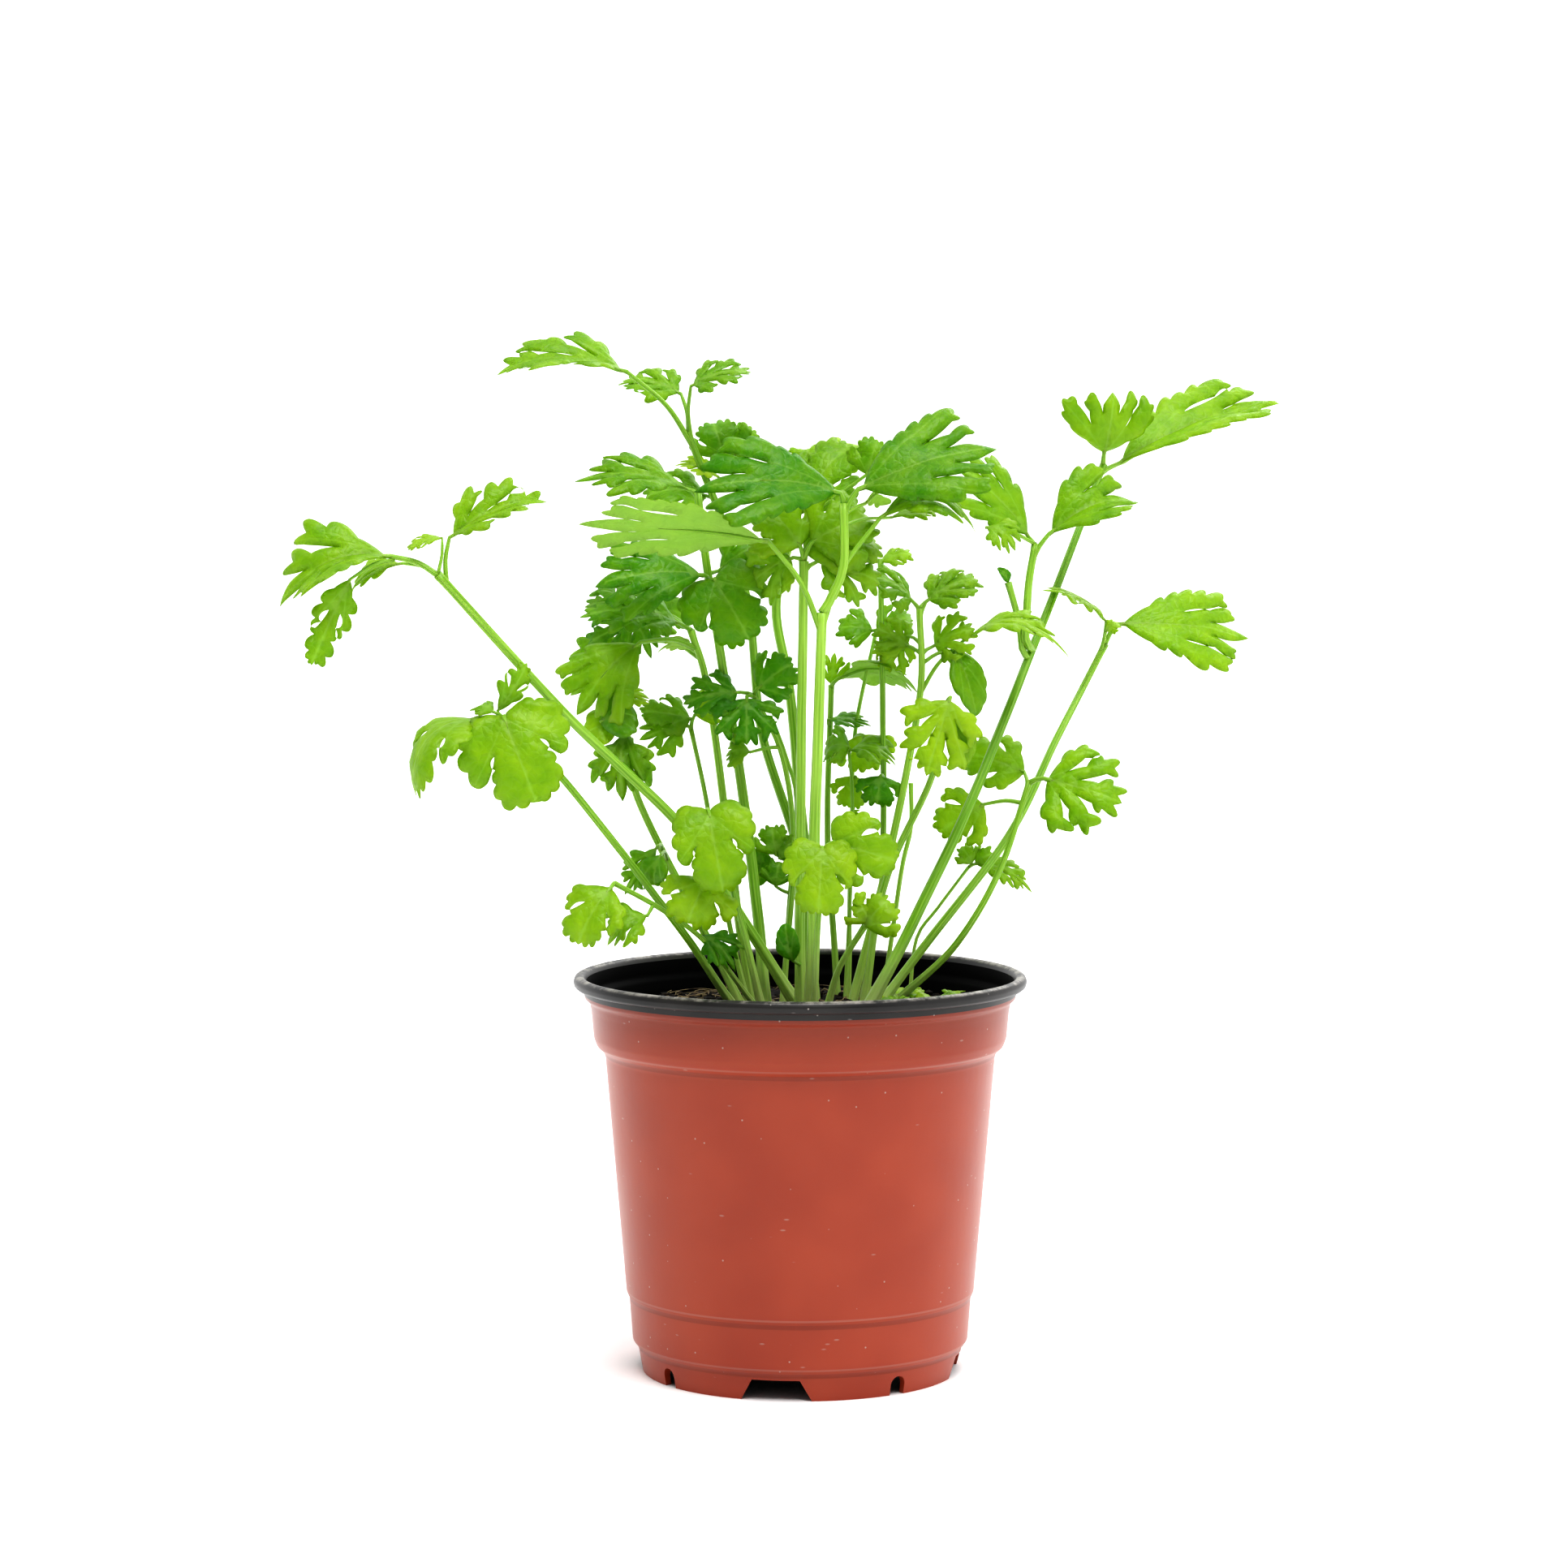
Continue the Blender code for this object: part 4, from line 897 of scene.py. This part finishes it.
def blade_sheet(kind, length, width, rng, pitch):
    """Points, triangles and vein strength of a blade laid flat."""
    loop, teeth, cuts = margin(kind, length, width, rng)
    lines = veins(length, teeth, cuts)
    edge = np.array(loop)
    low, high = edge.min(0), edge.max(0)
    rows = np.arange(low[1], high[1], pitch * 0.866)
    grid = np.array([(x, y) for k, y in enumerate(rows)
                     for x in np.arange(low[0] + (k % 2) * pitch / 2, high[0], pitch)])
    grid = grid[inside(grid, edge)]
    clear = np.ones(len(grid), bool)
    for a, b in zip(edge, np.roll(edge, -1, axis=0)):
        clear &= distance(grid, a, b) > 0.45 * pitch
    corners = [tuple(p) for p in edge]
    edges = [(i, (i + 1) % len(corners)) for i in range(len(corners))]
    strong = []
    for line, strength in lines:
        path = [line[0]]
        for a, b in zip(line, line[1:]):
            steps = max(1, round((b - a).length / pitch))
            path += [a.lerp(b, k / steps) for k in range(1, steps + 1)]
        spots = np.array([tuple(p) for p in path])
        kept = inside(spots, edge)
        for a, b in zip(spots, spots[1:]):
            strong.append((a, b, strength))
            clear &= distance(grid, a, b) > 0.45 * pitch
        if strength > 0.7:
            previous = None
            for spot, good in zip(spots, kept):
                if not good:
                    previous = None
                    continue
                corners.append(tuple(spot))
                if previous is not None:
                    edges.append((previous, len(corners) - 1))
                previous = len(corners) - 1
    corners += [tuple(p) for p in grid[clear]]
    made, _, triangles, _, _, _ = delaunay_2d_cdt([Vector(c) for c in corners], edges, [], 0,
                                                  1e-4, False)
    flat = np.array([tuple(p) for p in made])
    triangles = np.array([tuple(t) for t in triangles])
    triangles = triangles[inside(flat[triangles].mean(1), edge)]
    strength = np.zeros(len(flat))
    for a, b, value in strong:
        strength = np.maximum(strength, value * np.clip(1 - distance(flat, a, b) / 0.9, 0, 1))
    margin_distance = np.full(len(flat), 99.0)
    for a, b in zip(edge, np.roll(edge, -1, axis=0)):
        margin_distance = np.minimum(margin_distance, distance(flat, a, b))
    return flat, [tuple(int(i) for i in t) for t in triangles], strength, margin_distance


def blade_piece(seed, row, pitch):
    """A blade on its stalk: a thin closed sheet, lobed, veined and rippled."""
    look = bpy.context.scene.herb_plant
    start, base, tip, face, width, kind, arch, fold, age = row
    rng = random.Random(seed)
    base, tip, start = Vector(base), Vector(tip), Vector(start)
    along = (tip - base).normalized()
    up = Vector(face)
    up = (up - along * up.dot(along)).normalized()
    across = along.cross(up)
    length = (tip - base).length
    flat, triangles, vein, rim = blade_sheet(kind, length, width, rng, pitch)
    x, y = flat[:, 0], flat[:, 1]
    s = y / length
    slope = radians(fold)
    out = np.clip(np.hypot(x, y - 0.3 * length) / (0.55 * (width + length) / 2 + 0.3 * length),
                  0, 1.3)
    bearing = np.arctan2(x, y + 0.15 * length)
    waves = (np.sin(4.3 * bearing + rng.uniform(0, 6)) + 0.6 * np.sin(8.1 * bearing
                                                                      + rng.uniform(0, 6)))
    spot = Vector((rng.uniform(0, 99), rng.uniform(0, 99), 0))
    swell = np.array([noise.noise(Vector((px * 0.09, py * 0.09, 0)) + spot)
                      for px, py in flat])
    twist = rng.uniform(-0.12, 0.12)
    # Height over the flat: arch, fold and roll, ripples, swelling, twist, quilting by veins.
    lift = (arch * 4 * s * (1 - s) + np.abs(x) * sin(slope) - x * x / (8 * width)
            + look.ripple * width * waves * out**2 + 0.12 * width * swell * out
            + twist * x * s + 0.28 * (1 - vein) * np.clip(rim / 1.5, 0, 1))
    lift -= 0.06 * width * np.clip(1.5 - rim, 0, 1.5) * 0.5
    axes = [np.array(v) for v in (across, along, up)]
    middle = (np.array(base) + np.outer(x * cos(slope), axes[0]) + np.outer(y, axes[1])
              + np.outer(lift, axes[2]))
    normals = np.zeros_like(middle)
    corners = np.array(triangles)
    cross = np.cross(middle[corners[:, 1]] - middle[corners[:, 0]],
                     middle[corners[:, 2]] - middle[corners[:, 0]])
    for k in range(3):
        np.add.at(normals, corners[:, k], cross)
    normals /= np.maximum(np.linalg.norm(normals, axis=1)[:, None], 1e-9)
    half = look.thickness / MM / 2 * (0.35 + 0.65 * np.clip(rim, 0, 1)) + 0.10 * vein
    count = len(middle)
    points = np.vstack([middle + normals * half[:, None] * 0.9,
                        middle - normals * half[:, None] * 1.1])
    faces = [tuple(t) for t in triangles] + [tuple(i + count for i in reversed(t))
                                             for t in triangles]
    sides = dict.fromkeys(pair for a, b, c in triangles for pair in ((a, b), (b, c), (c, a)))
    faces += [(b, a, a + count, b + count) for a, b in sides if (b, a) not in sides]
    piece = Piece()
    piece.add(points, faces, np.vstack([flat, flat]), vein=list(vein) * 2,
              under=[0.0] * count + [1.0] * count, age=age)
    # The stalk bows up to the blade and runs on beneath it as the midrib.
    span = (base - start).length
    way = smooth_way([start, start + (base - start) * 0.5 - along * span * 0.06
                      + Vector((0, 0, 0.04 * span)), base], 2.0)
    thick = min(0.8, 0.32 + 0.028 * width)
    radii = [thick * (1.25 - 0.35 * i / (len(way) - 1)) for i in range(len(way))]
    reach = 0.62 * length
    steps = max(3, int(reach / 2.5))
    for k in range(1, steps + 1):
        py = reach * k / steps
        share = py / length
        way.append(base + along * py + up * (arch * 4 * share * (1 - share)
                                             - 0.45 * (1 - k / steps) - 0.12))
        radii.append(thick * 0.9 * (1 - k / steps) + 0.1)
    tube(piece, way, radii, 8, age=0.25 + 0.5 * age, slot=1)
    return piece


def below_tip(name, drop):
    """The point on a stalk's centre line at a distance below its tip."""
    way = stalk_way(name)
    for a, b in zip(reversed(way), list(reversed(way))[1:]):
        length = (a - b).length
        if drop <= length:
            return a + (b - a) * (drop / length)
        drop -= length
    return way[0]


def rounded(profile, fillet):
    """A profile with each corner turned into a short arc between two supports."""
    points = [Vector(p) for p in profile]
    made = [points[0]]
    for before, corner, after in zip(points, points[1:], points[2:]):
        back, ahead = before - corner, after - corner
        cut = min(fillet, 0.3 * back.length, 0.3 * ahead.length)
        a, b = corner + back.normalized() * cut, corner + ahead.normalized() * cut
        made.append(corner + back.normalized() * min(2.2 * cut, 0.45 * back.length))
        made += [a.lerp(corner, t).lerp(corner.lerp(b, t), t) for t in (0, 0.33, 0.67, 1)]
        made.append(corner + ahead.normalized() * min(2.2 * cut, 0.45 * ahead.length))
    return made + [points[-1]]


def turned(piece, profile, turns, slot_of, shape=None):
    """A body of revolution. slot_of gives the material of a ring, shape moves a point."""
    points, faces, slots = [], [], []
    rings = []
    for r, z in profile:
        if r < 1e-6:
            rings.append([len(points)])
            points.append((0, 0, z))
            continue
        ring = []
        for k in range(turns):
            angle = 2 * pi * k / turns
            ring.append(len(points))
            point = (r * cos(angle), r * sin(angle), z)
            points.append(shape(point) if shape else point)
        rings.append(ring)
    for j, (low, high) in enumerate(zip(rings, rings[1:])):
        for k in range(turns):
            a, b = low[k % len(low)], low[(k + 1) % len(low)]
            c, d = high[(k + 1) % len(high)], high[k % len(high)]
            face = [i for n, i in enumerate((a, b, c, d)) if i not in (a, b, c, d)[:n]]
            if len(face) > 2:
                faces.append(tuple(face))
                slots.append(slot_of(j))
    start = len(piece.slots)
    piece.add(points, faces, [(0.0, 0.0)] * len(points))
    piece.slots[start:] = slots


def cutter_from(name, bm):
    """The shape in a bmesh as an object of the scene."""
    mesh = bpy.data.meshes.new(name)
    bm.to_mesh(mesh)
    bm.free()
    return stand(name, mesh)


def bar_cutter(name, top, bottom, height, turn, arched):
    """A radial bar across the foot ring."""
    outline = [(-bottom / 2, -1.0), (bottom / 2, -1.0)]
    steps = 12 if arched else 1
    crown = top / 2 if arched else 0.0
    for i in range(steps + 1):
        angle = pi * i / steps
        outline.append((top / 2 * cos(angle), height - crown + crown * sin(angle)))
    bm = bmesh.new()
    ring = [bm.verts.new((x * MM, -NOTCH_START * MM, z * MM)) for x, z in outline]
    grown = bmesh.ops.extrude_face_region(bm, geom=[bm.faces.new(ring)])
    moved = [v for v in grown["geom"] if isinstance(v, bmesh.types.BMVert)]
    bmesh.ops.translate(bm, vec=(0, -NOTCH_RUN * MM, 0), verts=moved)
    bmesh.ops.rotate(bm, verts=bm.verts, cent=(0, 0, 0),
                     matrix=Matrix.Rotation(radians(turn), 3, "Z"))
    bmesh.ops.recalc_face_normals(bm, faces=bm.faces)
    return cutter_from(name, bm)


def drain_cutter(name, turn):
    """An upright round bar through the floor."""
    bm = bmesh.new()
    bmesh.ops.create_cone(bm, cap_ends=True, segments=32, radius1=DRAIN_RADIUS * MM,
                          radius2=DRAIN_RADIUS * MM, depth=DRAIN_DEPTH * MM)
    angle = radians(turn - 90)
    spot = (DRAIN_CIRCLE * MM * cos(angle), DRAIN_CIRCLE * MM * sin(angle), DRAIN_HEIGHT * MM)
    bmesh.ops.translate(bm, vec=spot, verts=bm.verts)
    return cutter_from(name, bm)


class HERB_OT_pot(bpy.types.Operator):
    """Form the pot: a two-colour plastic shell with a rolled lip, a stepped wall, drain holes
    and a notched foot"""

    bl_idname = "herb.pot"
    bl_label = "Pot"

    def execute(self, context):
        look = context.scene.herb_pot
        fillet = look.fillet / MM
        profile, slots = [], []
        # Slot 2, the inside of the pot and the underside of its foot, takes the black darkened as
        # painted shade.
        for part, slot in ((POT_INNER, 2), (POT_INNER[-1:] + POT_RIM, 1),
                           (POT_RIM[-1:] + POT_OUTER, 0), (POT_OUTER[-1:] + POT_FOOT, 2)):
            corners = rounded(part, fillet)
            slots += [slot] * (len(corners) - (not profile))
            profile += corners if not profile else corners[1:]
        piece = Piece()
        turned(piece, profile, look.turns, lambda j: slots[min(j, len(slots) - 1)])
        pot = piece.make("pot_shell", [shell_material(), lip_material(),
                                       shaded_lining_material()])
        cutters = []
        for i in range(4):
            turn = NOTCH_TURN + 90 * i
            cutters.append(bar_cutter("big_notch", *BIG_NOTCH, turn, False))
            cutters.append(bar_cutter("small_notch", *SMALL_NOTCH, turn + 45, True))
        cutters += [drain_cutter("drain", NOTCH_TURN + 45 * i) for i in range(8)]
        for cutter in cutters:
            cut = pot.modifiers.new("cut", "BOOLEAN")
            cut.operation, cut.solver, cut.object = "DIFFERENCE", "EXACT", cutter
        layer = context.evaluated_depsgraph_get()
        mesh = bpy.data.meshes.new_from_object(pot.evaluated_get(layer))
        pot.modifiers.clear()
        pot.data = mesh
        for cutter in cutters:
            bpy.data.objects.remove(cutter)
        mesh.shade_smooth()
        mesh.set_sharp_from_angle(angle=radians(50))
        if len(mesh.vertices) < 1000:
            raise RuntimeError("the pot's shell was lost while its holes were cut")
        settle(pot, "pot_plastic", "pot")
        return {"FINISHED"}


class HERB_OT_compost(bpy.types.Operator):
    """Fill the pot: the compost plug with its lumpy top, loose crumbs and root fibres"""

    bl_idname = "herb.compost"
    bl_label = "Compost"

    def execute(self, context):
        look = context.scene.herb_compost
        relief = look.roughness / MM
        rng = random.Random(7)

        def lumpy(point):
            x, y, z = point
            if z < COMPOST_EDGE:
                return point
            rise = noise.turbulence(Vector((x * 0.16, y * 0.16, 3.0)), 5, False,
                                    amplitude_scale=0.6)
            return x, y, z + relief * (rise - 0.9)

        top = [(r, compost_height(r)) for r in np.linspace(0, COMPOST_TOP[-1][0], 66)]
        piece = Piece()
        turned(piece, top + list(COMPOST_SIDE), COMPOST_TURNS, lambda j: 0, lumpy)
        settle(piece.make("compost_plug", [compost_material()]), "compost", "soil")

        ball = bmesh.new()
        bmesh.ops.create_icosphere(ball, subdivisions=1, radius=1.0)
        corners = [v.co.copy() for v in ball.verts]
        faces = [tuple(v.index for v in f.verts) for f in ball.faces]
        ball.free()
        crumbs = Piece()
        for _ in range(look.crumbs):
            r, angle = CRUMB_REACH * sqrt(rng.random()), rng.uniform(0, 2 * pi)
            size = rng.choice((0.5, 0.7, 0.9, 1.2, 1.7))
            x, y = r * cos(angle), r * sin(angle)
            z = lumpy((x, y, compost_height(r)))[2] + 0.25 * size
            scale = [size * rng.uniform(0.7, 1.3) for _ in range(3)]
            points = [(x + c.x * scale[0] * rng.uniform(0.75, 1.2),
                       y + c.y * scale[1] * rng.uniform(0.75, 1.2),
                       z + c.z * scale[2] * 0.7 * rng.uniform(0.75, 1.2)) for c in corners]
            crumbs.add(points, faces, [(0, 0)] * len(points))
        settle(crumbs.make("compost_crumbs", [compost_material()], smooth=False), "compost")

        fibres = Piece()
        for _ in range(look.fibres):
            r, angle = FIBRE_REACH * sqrt(rng.random()), rng.uniform(0, 2 * pi)
            heading, length = rng.uniform(0, 2 * pi), rng.choice((5, 8, 12, 18, 26))
            way = []
            for k in range(7):
                x = r * cos(angle) + cos(heading) * length * k / 6
                y = r * sin(angle) + sin(heading) * length * k / 6
                heading += rng.uniform(-0.35, 0.35)
                distance_out = hypot(x, y)
                if distance_out > FIBRE_LIMIT:
                    break
                z = lumpy((x, y, compost_height(distance_out)))[2]
                way.append((x, y, z + 0.2 + rng.uniform(0.2, 1.6) * sin(pi * k / 6)))
            if len(way) > 3:
                way = smooth_way(way, 1.2)
                tube(fibres, way, [rng.uniform(0.10, 0.22)] * len(way), 5)
        settle(fibres.make("root_fibres", [fibre_material()]), "compost")

        skins = [blade_material(), stalk_material()]
        for k in range(look.scraps):
            x, y = rng.uniform(18, 46), rng.uniform(-28, 24)
            heading, length = rng.uniform(0, 2 * pi), rng.uniform(4, 8)
            foot = Vector((x, y, compost_height(hypot(x, y)) + 0.6))
            if foot.xy.length > SCRAP_REACH:
                continue
            way = Vector((cos(heading), sin(heading), rng.uniform(0.0, 0.25))) * length
            row = (foot - way * 0.2, foot, foot + way, (rng.uniform(-3, 3), -4, 8),
                   rng.uniform(1.6, 3.2), rng.choice(("small", "oval", "finger")), 0.8, 10,
                   rng.uniform(0.3, 0.9))
            scrap = blade_piece("scrap%d" % k, row, 1.0).make("leaf_scrap_%02d" % k, skins)
            settle(scrap, "compost")
        return {"FINISHED"}


class HERB_OT_stalks(bpy.types.Operator):
    """Grow the leaf stalks, ribbed and sheathing at the foot"""

    bl_idname = "herb.stalks"
    bl_label = "Leaf stalks"

    def execute(self, context):
        skin = stalk_material()
        for name, row in STALKS.items():
            stalk = stalk_piece(name, row).make("stalk_" + name[-2:], [skin])
            settle(stalk, "leaf_stalk", name)
        for name, row in THIN_STALKS.items():
            settle(stalk_piece(name, row).make("thin_stalk_" + name, [skin]), "leaf_stalk")
        return {"FINISHED"}


class HERB_OT_blades(bpy.types.Operator):
    """Grow the leaf blades that have solids of their own"""

    bl_idname = "herb.blades"
    bl_label = "Leaf blades"

    def execute(self, context):
        skins = [blade_material(), stalk_material()]
        pitch = context.scene.herb_plant.pitch / MM
        for name, row in BLADES.items():
            bearer, drop, *rest = row
            start = ROOTS.get(name) or below_tip(bearer, drop + 0.6)
            rest[3] *= DRAWN[rest[4]]
            blade = blade_piece(name, (start, *rest), pitch).make("blade_" + name[-2:], skins)
            settle(blade, "leaf_blade", name)
        return {"FINISHED"}


class HERB_OT_leaflets(bpy.types.Operator):
    """Grow the small leaflets between the blades"""

    bl_idname = "herb.leaflets"
    bl_label = "Small leaflets"

    def execute(self, context):
        skins = [blade_material(), stalk_material()]
        pitch = context.scene.herb_plant.pitch / MM * 0.9
        for i, (bearer, base, *rest) in enumerate(LEAFLETS, 1):
            way = stalk_way(bearer)
            foot = Vector(base)
            start = min(way, key=lambda p: (p - foot).length + 0.35 * abs(p.z - foot.z + 4))
            row = (start, base, *rest)
            leaflet = blade_piece("leaflet%d" % i, row, pitch).make("leaflet_%02d" % i, skins)
            settle(leaflet, "leaf_blade")
        return {"FINISHED"}


class HERB_OT_stage(bpy.types.Operator):
    """Lay the paper floor, hang the softboxes and place the camera"""

    bl_idname = "herb.stage"
    bl_label = "Stage"

    def execute(self, context):
        look = context.scene.herb_stage
        scene = context.scene
        mesh = bpy.data.meshes.new("paper_floor")
        mesh.from_pydata([(-6, -6, 0), (6, -6, 0), (6, 6, 0), (-6, 6, 0)], [], [(0, 1, 2, 3)])
        stand("paper_floor", mesh)
        # Seamless white paper, matt and evenly lit.
        mat, tree, out = start_material("paper_seamless_matt")
        paper = node(tree, "ShaderNodeBsdfDiffuse", {"Color": (*[c * 0.94 for c in look.paper],
                                                               1)})
        tree.links.new(paper.outputs[0], out.inputs["Surface"])
        mesh.materials.append(mat)

        # A white tent, open and dim towards the front.
        world = bpy.data.worlds.new("white_tent")
        world.use_nodes = True
        tree = world.node_tree
        back = tree.nodes["Background"]
        back.inputs["Color"].default_value = (1, 1, 1, 1)
        way = node(tree, "ShaderNodeVectorMath", {
            0: node(tree, "ShaderNodeTexCoord").outputs["Generated"], 1: (0.45, 1.0, 0.0)},
            operation="DOT_PRODUCT")
        depth = node(tree, "ShaderNodeMapRange", {"Value": way.outputs["Value"],
                                                  "From Min": -0.9, "From Max": 0.1,
                                                  "To Min": look.front,
                                                  "To Max": look.surround},
                     interpolation_type="SMOOTHSTEP")
        seen = node(tree, "ShaderNodeLightPath")
        level = node(tree, "ShaderNodeMix", {"Factor": seen.outputs["Is Camera Ray"],
                                             2: depth.outputs["Result"], 3: 1.1})
        tree.links.new(level.outputs[0], back.inputs["Strength"])
        scene.world = world

        for name, kind, spot, spread, power in (
                ("overhead_bank", "SUN", (0.08, -0.45, 1.1), radians(35), look.key),
                ("back_softbox", "AREA", (0.5, 0.9, 1.0), 0.8, look.fill)):
            light = bpy.data.lights.new(name, kind)
            light.energy = power
            if kind == "SUN":
                light.angle = spread
            else:
                light.size = spread
            lamp = stand(name, light)
            lamp.location = spot
            lamp.rotation_euler = (Vector(LIT_POINT) - Vector(spot)).to_track_quat(
                "-Z", "Y").to_euler()

        lens = bpy.data.cameras.new("camera")
        lens.lens, lens.sensor_width = LENS, FILM
        lens.clip_start, lens.clip_end = 0.05, 60.0
        camera = stand("camera", lens)
        camera.location = EYE
        camera.rotation_euler = (radians(90 - TILT_DOWN), 0.0, radians(TURN_LEFT))
        scene.camera = camera
        scene.view_settings.view_transform = "Standard"
        scene.view_settings.look = "High Contrast"
        return {"FINISHED"}


class HERB_PT_panel(bpy.types.Panel):
    bl_label = "Potted leaf herb"
    bl_idname = "HERB_PT_panel"
    bl_space_type = "VIEW_3D"
    bl_region_type = "UI"
    bl_category = "Herb"

    def draw(self, context):
        for group, operators in (("herb_pot", ["herb.pot"]),
                                 ("herb_compost", ["herb.compost"]),
                                 ("herb_plant", ["herb.stalks", "herb.blades",
                                                 "herb.leaflets"]),
                                 ("herb_stage", ["herb.stage"])):
            box = self.layout.box()
            settings = getattr(context.scene, group)
            for key in settings.__annotations__:
                box.prop(settings, key)
            for operator in operators:
                box.operator(operator)


CLASSES = (HerbPot, HerbCompost, HerbPlant, HerbStage, HERB_OT_pot, HERB_OT_compost,
           HERB_OT_stalks, HERB_OT_blades, HERB_OT_leaflets, HERB_OT_stage, HERB_PT_panel)
GROUPS = (("herb_pot", HerbPot), ("herb_compost", HerbCompost), ("herb_plant", HerbPlant),
          ("herb_stage", HerbStage))


def register():
    for cls in CLASSES:
        bpy.utils.register_class(cls)
    for name, group in GROUPS:
        setattr(bpy.types.Scene, name, PointerProperty(type=group))


def unregister():
    for name, _ in GROUPS:
        delattr(bpy.types.Scene, name)
    for cls in reversed(CLASSES):
        bpy.utils.unregister_class(cls)


def main():
    register()
    for operator in (bpy.ops.herb.pot, bpy.ops.herb.compost, bpy.ops.herb.stalks,
                     bpy.ops.herb.blades, bpy.ops.herb.leaflets, bpy.ops.herb.stage):
        operator()
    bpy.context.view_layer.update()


if __name__ == "__main__":
    main()
